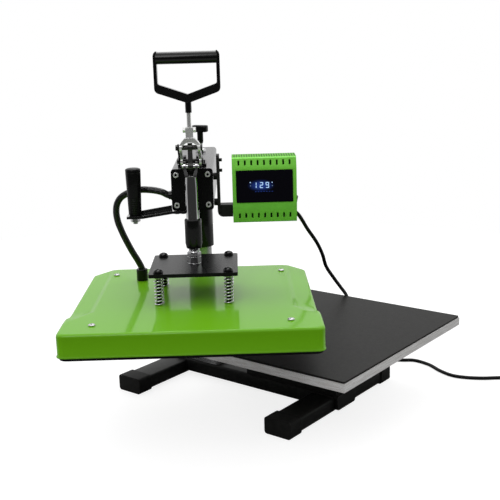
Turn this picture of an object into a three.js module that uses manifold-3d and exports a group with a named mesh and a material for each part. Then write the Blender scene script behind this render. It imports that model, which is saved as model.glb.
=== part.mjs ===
// Swing-away heat press, in millimetres, +Z up.
// The base stands on Z = 0. The machine's front looks along -Y when the head is closed
// over the lower platen. The head is drawn swung away to its right, with the lever up.
import * as THREE from 'three';
import { mergeVertices } from 'three/addons/utils/BufferGeometryUtils.js';
import Module from 'manifold-3d';

const wasm = await Module();
wasm.setup();

// Clearances shared by all pieces: seated faces, turning or sliding fits, cutter overrun
const fit = { seat: 0.3, slide: 0.45, overrun: 5 };

// Counts of facets
const facets = { round: 32, medium: 20, small: 12, hex: 6, square: 4, corner: 3, bend: 6 };

// Main layout: gap between the swing sleeve and the cover behind it, swing of the head at rest
const layout = { rearGap: 28.5, restSwing: 51.2, swingRange: 95 };

// Base frame
const spine = { width: 60, height: 27, wall: 3, corner: 5, behindPost: 80, aheadOfPost: 330 };
const foot = { length: 329, width: 50, height: 26, wall: 2.5, corner: 4, rearSetBack: 31.4, frontSetBack: 29 };
const footCap = { wall: 2, grip: 30, corner: 5 };
const spinePlug = { flange: 3, depth: 18, wall: 2.5 };
const post = { radius: 21, wall: 5, flangeWidth: 56, flangeLength: 110, flangeThickness: 8, flangeCorner: 8 };
const postBolt = { headRadius: 6, headHeight: 5, pitchX: 36, pitchY: 88 };
const stopPin = { radius: 3, reach: 4 };
const pedestal = { width: 60, length: 200, wall: 4, flangeWidth: 150, flangeThickness: 5 };
const pedestalWindow = { radius: 22, pitch: 96 };
const lowerPlaten = { side: 400, thickness: 15, bevel: 1, underside: 124 };
const mat = { thickness: 3, inset: 0.8, corner: 3 };

// Swing bearing
const sleeve = { radius: 25.5, wall: 2.6, bottom: 262, notchHeight: 10, topGap: 0.8 };

// Head box
const headBox = { width: 70, height: 70, wall: 3.5, corner: 6, behindPost: 70, setBack: 29, bottom: 374 };
const rearPlug = { flange: 4, depth: 22, wall: 3 };
const frontPlate = { thickness: 4, corner: 5 };
const frontBolt = { radius: 4.7, height: 5, socket: 2.4, socketDepth: 3, pitchX: 53, pitchZ: 51 };

// Pressure knob and its screw
const knobScrew = { radius: 4, nutAcross: 17, nutHeight: 6, engagement: 12 };
const knob = {
  stemRadius: 5.8, neckRadius: 4.9, stemHeight: 21, barLength: 31, barDepth: 13, barHeight: 13.3, barCorner: 4,
  lift: 16.5, aside: 7, turn: -25,
};

// Toggle mechanism: crank about the lever pivot, link, open joint at the plunger
const crank = { radius: 34, startAngle: 42.5 };
const toggle = { pivotHeight: 456.5, linkLength: 30.5, pinRadius: 4 };
const bracket = {
  earGap: 16.8, earThickness: 4, earRadius: 10, baseThickness: 4, baseWidth: 48, baseLength: 50, boltInset: 6.75,
};
const bracketBolt = { radius: 4.5, height: 4 };
const fork = {
  gap: 26.6, cheek: 4, eyeRadius: 9, neckNear: 3.2, neckFar: 10, shoulder: 14, shoulderRise: 5, arch: 12.5,
  crownHeight: 7, crownHalf: 8, crownDepth: 16,
};
const forkBoss = { width: 12, depth: 12, height: 17 };
const keeper = { thickness: 3, endRadius: 6, halfWidth: 3, nutRadius: 4.6, nutHeight: 3 };
const pinHead = { radius: 5.5, height: 2.5 };
const clampBolt = { radius: 2, across: 8.5, headHeight: 4.2, rise: 12.5 };
const link = { thickness: 7.5, eyeRadius: 7.4, waist: 5.2 };

// Lever rod and D handle
const rod = { radius: 3.5, exposed: 23.5, buried: 15 };
const handle = {
  stemRadius: 5.2, stemLength: 17, width: 106, height: 81.5, vRise: 16.5, baseThickness: 12.6, legWidth: 5.6,
  depth: 15, gripRadius: 9.7, gripInset: 4, gripDrop: 1.8, corner: 8, innerCorner: 4,
};

// Ram
const plunger = {
  radius: 10.8, neckRadius: 9.6, neckLength: 17.5, threadRadius: 9.2, shoulderRise: 29, tailDrop: 14, edge: 1,
};
const thread = { pitch: 2, depth: 0.7 };
const yoke = {
  width: 23, footDrop: 17, flareStart: 3, flareEnd: 12, armThickness: 3.6, slot: 8.4, eyeRadius: 8,
  frontFillet: 4, sideFillet: 6,
};
const barrel = { wall: 2.7, abovePlate: 27.5, length: 49, taper: 8, rim: 1, chamfer: 1.5 };
const gusset = { width: 12, overlap: 18, reach: 9.6, corner: 4, edge: 2 };
const springPlate = { width: 144, length: 134, thickness: 6, rise: 47, corner: 4 };
const ramNut = { across: 20, height: 11, jamHeight: 8, washerRadius: 11, washerHeight: 1.6, lowerHeight: 10 };
const nutChamfer = { depth: 1 };

// Guide bolts and springs of the floating platen
const guideBolt = {
  radius: 4, headRadius: 8, headHeight: 6, socketRadius: 2.6, socketDepth: 2.5, pitchX: 113, pitchY: 114,
  engagement: 8,
};
const domeShares = [[1, 0.3], [0.82, 0.75], [0.45, 1]];
const spring = { outerRadius: 8, wire: 2.4, curls: 8, steps: 8, sides: 5 };

// Upper platen
const heatPlaten = { inset: 9, thickness: 18, underside: 193 };
const element = { width: 10, depth: 7, span: 300, pitch: 60, runs: 6 };
const board = { inset: 14, thickness: 12 };
const cover = {
  side: 400, skirt: 32, wall: 2, overhang: 5, frontCorner: 12, bevel: 3, chamferX: 32, chamferY: 40,
  step: 3.5, stepPlace: 88,
};
const field = {
  height: 5, sideInset: 32, slope: 9, frontDepth: 98, rearInset: 8, edgeInset: 7, shoulder: 18, shoulderRun: 27,
};
const coverScrew = { radius: 4.6, height: 2.6, pitchX: 302, behindRam: 138.5, aheadOfRam: 158.8 };
const collar = { radius: 10, edge: 1.2, height: 21, out: 100, behindRam: 101, insert: 9 };

// Side grip, at the left of the head box
const gripBracket = {
  thickness: 4.2, width: 28, tab: 24, endLength: 26, endHeight: 364.5, setBack: 5,
  ribThickness: 2.4, ribLow: 2, ribHigh: 6, ribInset: 2,
};
const bracketScrew = { radius: 4, height: 2.6 };
const screwPlaceShares = [0.3, 0.75];
const spindle = { radius: 4, nutAcross: 14.6, nutHeight: 6.5, tail: 3.5 };
const grip = {
  lowRadius: 10.8, highRadius: 12.9, height: 80, out: 98.6, crown: 3, foot: 2.5, ring: 1, ringDrop: 7,
};
const crownShares = [[0.93, 0.5], [0.7, 0.88], [0.3, 1]];

// Flexible hose between the head box and the cover; its route is measured from the ram's axis
const hoseGland = { radius: 8.5, neck: 7.2, length: 7, flange: 3, setBack: 29, height: 395 };
const hose = { radius: 5.35, steps: 40, sides: 10, insert: 5 };
const hoseRoute = [
  [-53, 58, 400.5], [-64.5, 59, 403.5], [-75.9, 60, 405], [-88.5, 62, 405.3], [-102, 64, 403.2],
  [-115.5, 66, 398.2], [-126.3, 68, 391], [-133.2, 70, 380], [-135.8, 73, 366], [-134.8, 77, 350],
  [-130.4, 82, 332], [-123.2, 87, 311.5], [-114, 93, 289], [-105.2, 98, 270.5],
];

// Controller
const housing = {
  width: 107, height: 110.5, depth: 52, wall: 2, gap: 32, bottom: 350, proud: 12,
  lowBand: 30, highBand: 18, bandSlope: 7, corner: 4,
};
const slot = { width: 3, height: 8, pitch: 10.6, perRow: 9, topDrop: 9, bottomRise: 12.8 };
const display = { width: 94, height: 53.4, rise: 35.8, thickness: 4, proud: 1.2, corner: 2 };
const rearCover = { thickness: 2.5 };
const rocker = {
  length: 22, width: 13, proud: 3.4, depth: 7, rise: 29, setBack: 27, hollow: 2.2, taper: 4.4, play: 1.2,
};
const relief = { radius: 7.5, tip: 5.6, length: 26, flange: 3, flangeRadius: 9.5, inset: 22, rise: 16 };
const postBar = { thickness: 5, width: 26, top: 465, gap: 6, setBack: 13, corner: 6 };
const spacer = { radius: 6, lowHeight: 384, highHeight: 428 };
const barScrew = { radius: 2.8, length: 4.6, lowHeight: 437.7, highHeight: 455.3 };
const arm = { height: 20.5, depth: 22, bottom: 360, corner: 9 };

// Power cord: diameter, its free route on and above the table, and the spare coil
const cord = { radius: 3.5, sides: 8, steps: 56, entry: 6, lead: 14 };
const cordRoute = [
  [-16.5, -207, 366], [-1.6, -198.5, 363], [14.4, -196, 356], [26.7, -200.4, 347], [37.7, -206.3, 337],
  [54.2, -211.2, 306.5], [76, -216.2, 278.2], [97.4, -217.5, 251], [118.8, -215.7, 222.5],
  [146.5, -213.5, 192], [179, -208.5, 165], [209, -203, 140], [226.5, -203.5, 108], [236, -209.5, 80],
  [241, -218.5, 53], [242.5, -230, 29], [244.5, -246, 11.5], [249, -265, 4.4], [256.7, -284, 3.7],
  [265.3, -302.5, 3.7], [277, -322, 3.7], [272, -357.3, 3.7], [252.5, -393, 3.7], [243.2, -422.5, 3.7],
  [247.4, -447.7, 3.7], [261.5, -476, 3.7], [277.6, -496.7, 3.7], [296, -520.5, 3.7],
];
const coil = {
  radius: 43, pitch: 7.6, rise: 7.6, turns: 3.25, crossing: 0.5, steps: 24, sides: 6, heading: -52,
  x: 368.9, y: -543.2, tail: 22,
};
const plug = { length: 38, width: 26, height: 22, corner: 5, neck: 20, neckRadius: 5, bladeLength: 16 };
const blade = { width: 6.4, thickness: 1.6, gap: 12.7, groundRadius: 2.4, drop: 5 };

// Finishes
const paint = {
  green: { color: 0x76be23, roughness: 0.22, metalness: 0.05 },
  black: { color: 0x141416, roughness: 0.35, metalness: 0.3 },
  plastic: { color: 0x101011, roughness: 0.55, metalness: 0 },
  rubber: { color: 0x18181a, roughness: 0.85, metalness: 0 },
  chrome: { color: 0xc9cccf, roughness: 0.12, metalness: 1 },
  steel: { color: 0xa9abad, roughness: 0.3, metalness: 1 },
  aluminium: { color: 0xbdbfc0, roughness: 0.38, metalness: 1 },
  silicone: { color: 0x3a3a39, roughness: 0.8, metalness: 0 },
  brass: { color: 0xb08d4a, roughness: 0.35, metalness: 1 },
  coating: { color: 0x17171a, roughness: 0.45, metalness: 0.2 },
  board: { color: 0xd9d4c6, roughness: 0.95, metalness: 0 },
  glass: { color: 0x0b0c10, roughness: 0.12, metalness: 0 },
};

// Solids from three.js geometry
function solid(geometry) {
  const bare = geometry.clone();
  bare.deleteAttribute('normal');
  bare.deleteAttribute('uv');
  const merged = mergeVertices(bare);
  const vertProperties = new Float32Array(merged.attributes.position.array);
  const triVerts = new Uint32Array(merged.index.array);
  return new wasm.Manifold(new wasm.Mesh({ numProp: 3, vertProperties, triVerts }));
}

function shapeOf(points) {
  return new THREE.Shape(points.map(([x, y]) => new THREE.Vector2(x, y)));
}

function extruded(points, length) {
  return new THREE.ExtrudeGeometry(shapeOf(points), { depth: length, bevelEnabled: false, steps: 1 });
}

function block(x0, x1, y0, y1, z0, z1) {
  const geometry = new THREE.BoxGeometry(x1 - x0, y1 - y0, z1 - z0);
  geometry.translate((x0 + x1) / 2, (y0 + y1) / 2, (z0 + z1) / 2);
  return solid(geometry);
}

// Prisms along each axis. The outline is given in XY, in YZ or in XZ.
function prismZ(points, z0, z1) {
  return solid(extruded(points, z1 - z0).translate(0, 0, z0));
}

function prismX(points, x0, x1) {
  const turn = new THREE.Matrix4().makeBasis(
    new THREE.Vector3(0, 1, 0), new THREE.Vector3(0, 0, 1), new THREE.Vector3(1, 0, 0));
  return solid(extruded(points, x1 - x0).applyMatrix4(turn).translate(x0, 0, 0));
}

function prismY(points, y0, y1) {
  const turn = new THREE.Matrix4().makeBasis(
    new THREE.Vector3(1, 0, 0), new THREE.Vector3(0, 0, 1), new THREE.Vector3(0, -1, 0));
  return solid(extruded(points, y1 - y0).applyMatrix4(turn).translate(0, y1, 0));
}

function barZ(radius, x, y, z0, z1, sides = facets.medium) {
  const geometry = new THREE.CylinderGeometry(radius, radius, z1 - z0, sides);
  return solid(geometry.rotateX(Math.PI / 2).translate(x, y, (z0 + z1) / 2));
}

function barX(radius, x0, x1, y, z, sides = facets.medium) {
  const geometry = new THREE.CylinderGeometry(radius, radius, x1 - x0, sides);
  return solid(geometry.rotateZ(Math.PI / 2).translate((x0 + x1) / 2, y, z));
}

function barY(radius, x, y0, y1, z, sides = facets.medium) {
  const geometry = new THREE.CylinderGeometry(radius, radius, y1 - y0, sides);
  return solid(geometry.translate(x, (y0 + y1) / 2, z));
}

// A turned piece about a vertical axis, its profile as radius and height
function turned(profile, x, y, sides = facets.medium) {
  const geometry = new THREE.LatheGeometry(profile.map(([r, z]) => new THREE.Vector2(r, z)), sides);
  return solid(geometry.rotateX(Math.PI / 2).translate(x, y, 0));
}

// Outlines
function rectangle(width, height, x = 0, y = 0) {
  const halfWidth = width / 2;
  const halfHeight = height / 2;
  return [
    [x - halfWidth, y - halfHeight], [x + halfWidth, y - halfHeight],
    [x + halfWidth, y + halfHeight], [x - halfWidth, y + halfHeight],
  ];
}

function filleted(corners, radius, steps = facets.corner) {
  const points = [];
  corners.forEach(([x, y, own], index) => {
    const round = own === undefined ? radius : own;
    if (!round) {
      points.push([x, y]);
      return;
    }
    const before = corners[(index + corners.length - 1) % corners.length];
    const after = corners[(index + 1) % corners.length];
    const back = new THREE.Vector2(before[0] - x, before[1] - y).normalize();
    const on = new THREE.Vector2(after[0] - x, after[1] - y).normalize();
    const half = Math.acos(THREE.MathUtils.clamp(back.dot(on), -1, 1)) / 2;
    const middle = back.clone().add(on).normalize().multiplyScalar(round / Math.sin(half));
    const start = back.multiplyScalar(round / Math.tan(half)).sub(middle);
    const end = on.multiplyScalar(round / Math.tan(half)).sub(middle);
    const sweep = Math.atan2(start.x * end.y - start.y * end.x, start.dot(end));
    for (let step = 0; step <= steps; step += 1) {
      const spoke = start.clone().rotateAround(new THREE.Vector2(), (sweep * step) / steps);
      points.push([x + middle.x + spoke.x, y + middle.y + spoke.y]);
    }
  });
  return points;
}

function roundedRectangle(width, height, radius, x = 0, y = 0) {
  return filleted(rectangle(width, height, x, y), radius);
}

function circle(radius, x, y, sides = facets.medium) {
  const points = [];
  for (let side = 0; side < sides; side += 1) {
    const angle = (2 * Math.PI * side) / sides;
    points.push([x + radius * Math.cos(angle), y + radius * Math.sin(angle)]);
  }
  return points;
}

function hexagon(across, x = 0, y = 0) {
  return circle(across / Math.sqrt(3), x, y, facets.hex);
}

// A hexagon nut with both ends chamfered
function nutZ(across, x, y, z0, z1) {
  const corner = across / Math.sqrt(3);
  const round = turned([
    [0, z0], [across / 2, z0], [corner, z0 + nutChamfer.depth],
    [corner, z1 - nutChamfer.depth], [across / 2, z1], [0, z1],
  ], x, y);
  return prismZ(hexagon(across, x, y), z0, z1).intersect(round);
}

// A bar with round ends between two points
function slotted(from, to, radius, sides = facets.small) {
  const along = Math.atan2(to[1] - from[1], to[0] - from[0]);
  const points = [];
  for (let step = 0; step <= sides / 2; step += 1) {
    const angle = along + Math.PI / 2 + (2 * Math.PI * step) / sides;
    points.push([from[0] + radius * Math.cos(angle), from[1] + radius * Math.sin(angle)]);
  }
  for (let step = 0; step <= sides / 2; step += 1) {
    const angle = along - Math.PI / 2 + (2 * Math.PI * step) / sides;
    points.push([to[0] + radius * Math.cos(angle), to[1] + radius * Math.sin(angle)]);
  }
  return points;
}

// The outline of a bent strip: a line of places, thickened to both sides
function bentStrip(places, thickness) {
  const left = [];
  const right = [];
  places.forEach(([x, y], index) => {
    const before = places[Math.max(index - 1, 0)];
    const after = places[Math.min(index + 1, places.length - 1)];
    const into = new THREE.Vector2(x - before[0], y - before[1]).normalize();
    const out = new THREE.Vector2(after[0] - x, after[1] - y).normalize();
    const along = into.clone().add(out).normalize();
    const stretch = index === 0 || index === places.length - 1 ? 1 : 1 / along.dot(out);
    const side = new THREE.Vector2(-along.y, along.x).multiplyScalar((stretch * thickness) / 2);
    left.push([x + side.x, y + side.y]);
    right.unshift([x - side.x, y - side.y]);
  });
  return [...right, ...left];
}

// A tube wound along many places, with flat ends
function woundTube(places, radius, sides) {
  const positions = [];
  const index = [];
  let normal = new THREE.Vector3(0, 0, 1);
  places.forEach((place, ring) => {
    const before = places[Math.max(ring - 1, 0)];
    const after = places[Math.min(ring + 1, places.length - 1)];
    const along = after.clone().sub(before).normalize();
    if (ring === 0 && Math.abs(along.z) > Math.abs(along.x) + Math.abs(along.y)) {
      normal = new THREE.Vector3(1, 0, 0);
    }
    normal.addScaledVector(along, -normal.dot(along)).normalize();
    const across = along.clone().cross(normal);
    for (let side = 0; side < sides; side += 1) {
      const angle = (2 * Math.PI * side) / sides;
      const point = place.clone();
      point.addScaledVector(normal, radius * Math.cos(angle));
      point.addScaledVector(across, radius * Math.sin(angle));
      positions.push(point.x, point.y, point.z);
    }
  });
  for (let ring = 0; ring < places.length - 1; ring += 1) {
    for (let side = 0; side < sides; side += 1) {
      const a = ring * sides + side;
      const b = ring * sides + ((side + 1) % sides);
      index.push(a, b, b + sides, a, b + sides, a + sides);
    }
  }
  const last = (places.length - 1) * sides;
  for (let side = 1; side < sides - 1; side += 1) {
    index.push(0, side + 1, side, last, last + side, last + side + 1);
  }
  const geometry = new THREE.BufferGeometry();
  geometry.setAttribute('position', new THREE.Float32BufferAttribute(positions, 3));
  geometry.setIndex(index);
  return solid(geometry);
}

// Least clear distance between runs of a wound tube that lie at least `apart` places from each other
function leastGap(places, radius, apart) {
  let least = Infinity;
  const near = new THREE.Vector3();
  for (let first = 0; first < places.length; first += 1) {
    for (let second = first + apart; second < places.length - 1; second += 1) {
      const run = new THREE.Line3(places[second], places[second + 1]);
      run.closestPointToPoint(places[first], true, near);
      least = Math.min(least, near.distanceTo(places[first]) - 2 * radius);
    }
  }
  return least;
}

// A tube along a smooth free route
function routedTube(route, radius, sides, steps) {
  const places = route.map((place) => new THREE.Vector3(...place));
  const path = new THREE.CatmullRomCurve3(places, false, 'centripetal');
  const section = shapeOf(circle(radius, 0, 0, sides));
  return solid(new THREE.ExtrudeGeometry(section, { steps, extrudePath: path, bevelEnabled: false }));
}

// Adds one solid to a group as a named mesh with its own material
function place(group, name, body, finish) {
  const mesh = body.getMesh();
  const geometry = new THREE.BufferGeometry();
  geometry.setAttribute('position', new THREE.Float32BufferAttribute(mesh.vertProperties, 3));
  geometry.setIndex(Array.from(mesh.triVerts));
  geometry.computeVertexNormals();
  const piece = new THREE.Mesh(geometry, new THREE.MeshStandardMaterial(finish));
  piece.name = name;
  group.add(piece);
  return piece;
}

const degrees = THREE.MathUtils.degToRad;

// Heights and places that follow from the sizes above
const footBottom = footCap.wall + fit.seat;
const spineBottom = footBottom + foot.wall + fit.seat;
const spineTop = spineBottom + spine.height;
const postFoot = spineTop + fit.seat;
const headTop = headBox.bottom + headBox.height;
const headInsideTop = headTop - headBox.wall;
const postTop = headInsideTop - fit.slide - fit.seat;
const boreRadius = sleeve.radius - sleeve.wall;
const pedestalFoot = spineTop + fit.seat;
const pedestalTop = lowerPlaten.underside - fit.seat;
const lowerPlatenTop = lowerPlaten.underside + lowerPlaten.thickness;
const ramReach = cover.side / 2 + sleeve.radius + layout.rearGap;
const boxFront = ramReach - headBox.setBack;
const headFront = boxFront + fit.seat;
const plateFront = headFront + frontPlate.thickness;
const headMiddle = headBox.bottom + headBox.height / 2;

const crankStart = degrees(crank.startAngle);
const crankDrift = (crank.radius * (1 - Math.sin(crankStart))) / 2;
const crankHeight = toggle.pivotHeight + crank.radius * Math.cos(crankStart);
const pivotAhead = ramReach - crankDrift - crank.radius * Math.sin(crankStart);
const crankAhead = pivotAhead + crank.radius * Math.sin(crankStart);
const linkTilt = Math.asin(crankDrift / toggle.linkLength);
const jointHeight = crankHeight - toggle.linkLength * Math.cos(linkTilt);
const pivotPlace = [-pivotAhead, toggle.pivotHeight];
const crankPlace = [-crankAhead, crankHeight];
const jointPlace = [-ramReach, jointHeight];
const forkOuter = fork.gap / 2 + fork.cheek;

const coverTop = heatPlaten.underside + cover.overhang + cover.skirt;
const fieldTop = coverTop + field.height;
const platenTop = heatPlaten.underside + heatPlaten.thickness;
const plateUnderside = fieldTop + springPlate.rise;
const plateTop = plateUnderside + springPlate.thickness;
const tail = plateUnderside - plunger.tailDrop;
const shoulder = plateTop + plunger.shoulderRise;
const prongFoot = jointHeight - yoke.footDrop;
const bearingRadius = plunger.radius + fit.slide;
const barrelBottom = plateTop + barrel.abovePlate;
const barrelTop = barrelBottom + barrel.length;
const nutSeat = plateTop + fit.seat;
const nutBottom = nutSeat + ramNut.washerHeight;
const nutTop = nutBottom + ramNut.height + ramNut.jamHeight;
const collarAhead = ramReach - collar.behindRam;
const glandAhead = boxFront - hoseGland.setBack;
const boltPlaces = [-1, 1].flatMap((ySide) => [-1, 1].map((xSide) => [
  (xSide * guideBolt.pitchX) / 2, -ramReach + (ySide * guideBolt.pitchY) / 2,
]));

const housingLeft = headBox.width / 2 + housing.gap;
const housingRight = housingLeft + housing.width;
const housingTop = housing.bottom + housing.height;
const housingFront = boxFront + housing.proud;
const housingBack = housingFront - housing.depth;
const housingMiddle = housingLeft + housing.width / 2;
const displayMiddle = housing.bottom + display.rise + display.height / 2;

const frontFootPlace = foot.frontSetBack - spine.aheadOfPost;
const rearFootPlace = spine.behindPost - foot.rearSetBack;
const forkCrown = crankHeight + fork.eyeRadius + fork.crownHeight;
const forkBossTop = forkCrown + forkBoss.height;

// Base
function tubeAlongX(size, length, bottom, y) {
  const middle = bottom + size.height / 2;
  const outside = roundedRectangle(size.width, size.height, size.corner, y, middle);
  const inside = roundedRectangle(
    size.width - 2 * size.wall, size.height - 2 * size.wall, size.corner - size.wall / 2, y, middle);
  const tube = prismX(outside, -length / 2, length / 2);
  return tube.subtract(prismX(inside, -length / 2 - fit.overrun, length / 2 + fit.overrun));
}

function makeSpine(group) {
  const middle = spineBottom + spine.height / 2;
  const outside = roundedRectangle(spine.width, spine.height, spine.corner, 0, middle);
  const inside = roundedRectangle(
    spine.width - 2 * spine.wall, spine.height - 2 * spine.wall, spine.corner - spine.wall / 2, 0, middle);
  const tube = prismY(outside, -spine.aheadOfPost, spine.behindPost)
    .subtract(prismY(inside, -spine.aheadOfPost - fit.overrun, spine.behindPost + fit.overrun));
  place(group, 'base_spine', tube, paint.black);
}

function makeFoot(group, name, y) {
  const notch = block(
    -spine.width / 2 - fit.seat, spine.width / 2 + fit.seat,
    y - foot.width / 2 - fit.overrun, y + foot.width / 2 + fit.overrun,
    footBottom + foot.wall, footBottom + foot.height + fit.overrun);
  place(group, name, tubeAlongX(foot, foot.length, footBottom, y).subtract(notch), paint.black);
}

function makeFootCap(group, name, y, side) {
  const middle = footBottom + foot.height / 2;
  const grow = 2 * (footCap.wall + fit.seat);
  const end = side * (foot.length / 2 + fit.seat + footCap.wall);
  const mouth = side * (foot.length / 2 - footCap.grip);
  const outside = roundedRectangle(foot.width + grow, foot.height + grow, footCap.corner, y, middle);
  const inside = roundedRectangle(
    foot.width + 2 * fit.seat, foot.height + 2 * fit.seat, foot.corner, y, middle);
  const floor = side * (foot.length / 2 + fit.seat);
  const open = mouth - side * fit.overrun;
  const shell = prismX(outside, Math.min(end, mouth), Math.max(end, mouth));
  const room = prismX(inside, Math.min(floor, open), Math.max(floor, open));
  place(group, name, shell.subtract(room), paint.rubber);
}

function makeSpinePlug(group, name, end, outward) {
  const middle = spineBottom + spine.height / 2;
  const face = end + outward * fit.seat;
  const front = face + outward * spinePlug.flange;
  const deep = end - outward * spinePlug.depth;
  const room = 2 * (spine.wall + fit.seat);
  const flange = prismY(
    roundedRectangle(spine.width, spine.height, spine.corner, 0, middle),
    Math.min(face, front), Math.max(face, front));
  const skirt = prismY(
    roundedRectangle(spine.width - room, spine.height - room, spine.corner - spine.wall / 2, 0, middle),
    Math.min(face, deep), Math.max(face, deep));
  const hollow = prismY(
    rectangle(spine.width - room - 2 * spinePlug.wall, spine.height - room - 2 * spinePlug.wall, 0, middle),
    Math.min(face, deep - outward * fit.overrun), Math.max(face, deep - outward * fit.overrun));
  place(group, name, flange.add(skirt).subtract(hollow), paint.plastic);
}

function makePost(group) {
  const flangeTop = postFoot + post.flangeThickness;
  let body = prismZ(
    roundedRectangle(post.flangeWidth, post.flangeLength, post.flangeCorner), postFoot, flangeTop);
  body = body.add(barZ(post.radius, 0, 0, postFoot, postTop, facets.round));
  body = body.subtract(barZ(post.radius - post.wall, 0, 0, flangeTop, postTop - post.wall, facets.medium));
  const vent = barZ(knobScrew.radius, 0, 0, postFoot - fit.overrun, flangeTop + fit.overrun, facets.small);
  body = body.subtract(vent);
  for (const xSide of [-1, 1]) {
    for (const ySide of [-1, 1]) {
      const x = (xSide * postBolt.pitchX) / 2;
      const y = (ySide * postBolt.pitchY) / 2;
      body = body.add(barZ(postBolt.headRadius, x, y, postFoot, flangeTop + postBolt.headHeight, facets.small));
    }
  }
  const pinHeight = sleeve.bottom + sleeve.notchHeight / 2;
  const pinEnd = sleeve.radius + stopPin.reach;
  const pin = barY(stopPin.radius, 0, post.radius - post.wall / 2, pinEnd, pinHeight, facets.small);
  place(group, 'post', body.add(pin), paint.steel);
}

function makePedestal(group) {
  const front = -spine.aheadOfPost;
  const rear = front + pedestal.length;
  const halfWidth = pedestal.width / 2;
  const flangeBottom = pedestalTop - pedestal.flangeThickness;
  let body = block(-halfWidth, halfWidth, front, rear, pedestalFoot, pedestalTop);
  body = body.subtract(block(
    -halfWidth + pedestal.wall, halfWidth - pedestal.wall, front - fit.overrun, rear + fit.overrun,
    pedestalFoot + pedestal.wall, pedestalTop + fit.overrun));
  for (const side of [-1, 1]) {
    const inner = side * (halfWidth - pedestal.wall);
    const outer = (side * pedestal.flangeWidth) / 2;
    body = body.add(block(
      Math.min(inner, outer), Math.max(inner, outer), front, rear, flangeBottom, pedestalTop));
  }
  const middle = (pedestalFoot + flangeBottom) / 2;
  for (const side of [-1, 1]) {
    const y = rear - pedestal.length / 2 + (side * pedestalWindow.pitch) / 2;
    body = body.subtract(barX(
      pedestalWindow.radius, -halfWidth - fit.overrun, halfWidth + fit.overrun, y, middle));
  }
  place(group, 'platen_pedestal', body, paint.black);
}

function makeLowerPlaten(group) {
  const half = lowerPlaten.side / 2;
  const y = -ramReach;
  const bottom = lowerPlaten.underside;
  const small = lowerPlaten.side - 2 * lowerPlaten.bevel;
  const square = rectangle(lowerPlaten.side, lowerPlaten.side, 0, y);
  const slab = prismZ(square, bottom + lowerPlaten.bevel, lowerPlatenTop);
  const belly = new THREE.CylinderGeometry(half, small / 2, lowerPlaten.bevel, facets.square, 1);
  belly.scale(Math.SQRT2, 1, Math.SQRT2).rotateY(Math.PI / 4).rotateX(Math.PI / 2);
  belly.translate(0, y, bottom + lowerPlaten.bevel / 2);
  place(group, 'lower_platen', slab.add(solid(belly)), paint.aluminium);
  const matBottom = lowerPlatenTop + fit.seat;
  const sheet = prismZ(
    roundedRectangle(lowerPlaten.side - 2 * mat.inset, lowerPlaten.side - 2 * mat.inset, mat.corner, 0, y),
    matBottom, matBottom + mat.thickness);
  place(group, 'silicone_mat', sheet, paint.silicone);
}

// Swing bearing and head box
function makeSleeve(group) {
  const top = headInsideTop - sleeve.topGap;
  let body = barZ(sleeve.radius, 0, 0, sleeve.bottom, top, facets.round);
  body = body.subtract(barZ(boreRadius, 0, 0, sleeve.bottom - fit.overrun, top + fit.overrun, facets.round));
  const margin = Math.asin((stopPin.radius + fit.slide) / boreRadius);
  const from = Math.PI / 2 - margin;
  const sweep = degrees(layout.swingRange) + 2 * margin;
  const wedge = [[0, 0]];
  for (let step = 0; step <= facets.bend; step += 1) {
    const angle = from + (sweep * step) / facets.bend;
    const far = 2 * sleeve.radius;
    wedge.push([far * Math.cos(angle), far * Math.sin(angle)]);
  }
  const notch = prismZ(wedge, sleeve.bottom - fit.overrun, sleeve.bottom + sleeve.notchHeight);
  place(group, 'swing_sleeve', body.subtract(notch), paint.black);
}

function makeBush(group) {
  const bottom = sleeve.bottom + sleeve.notchHeight + fit.seat;
  const top = headInsideTop - sleeve.topGap;
  const ring = barZ(boreRadius - fit.seat, 0, 0, bottom, top, facets.round);
  const bore = barZ(post.radius + fit.slide, 0, 0, bottom - fit.overrun, top + fit.overrun, facets.round);
  place(group, 'swing_bush', ring.subtract(bore), paint.brass);
}

function makeHeadBox(group) {
  const outside = roundedRectangle(headBox.width, headBox.height, headBox.corner, 0, headMiddle);
  const room = 2 * headBox.wall;
  const inside = roundedRectangle(
    headBox.width - room, headBox.height - room, headBox.corner - headBox.wall / 2, 0, headMiddle);
  let body = prismY(outside, -boxFront, headBox.behindPost)
    .subtract(prismY(inside, -boxFront - fit.overrun, headBox.behindPost + fit.overrun));
  body = body.subtract(barZ(
    sleeve.radius + fit.seat, 0, 0, headBox.bottom - fit.overrun, headBox.bottom + 2 * headBox.wall,
    facets.round));
  body = body.subtract(barZ(
    knobScrew.radius + fit.seat, knob.aside, 0, headInsideTop - fit.overrun, headTop + fit.overrun,
    facets.small));
  place(group, 'head_box', body, paint.black);
}

function makeRearPlug(group) {
  const face = headBox.behindPost + fit.seat;
  const back = face + rearPlug.flange;
  const deep = headBox.behindPost - rearPlug.depth;
  const room = 2 * (headBox.wall + fit.seat);
  const flange = prismY(
    roundedRectangle(headBox.width, headBox.height, headBox.corner, 0, headMiddle), face, back);
  const skirt = prismY(
    roundedRectangle(
      headBox.width - room, headBox.height - room, headBox.corner - headBox.wall / 2, 0, headMiddle),
    deep, back);
  const hollow = headBox.width - room - 2 * rearPlug.wall;
  const core = prismY(rectangle(hollow, hollow, 0, headMiddle), deep - fit.overrun, face);
  place(group, 'head_rear_plug', flange.add(skirt).subtract(core), paint.plastic);
}

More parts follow.
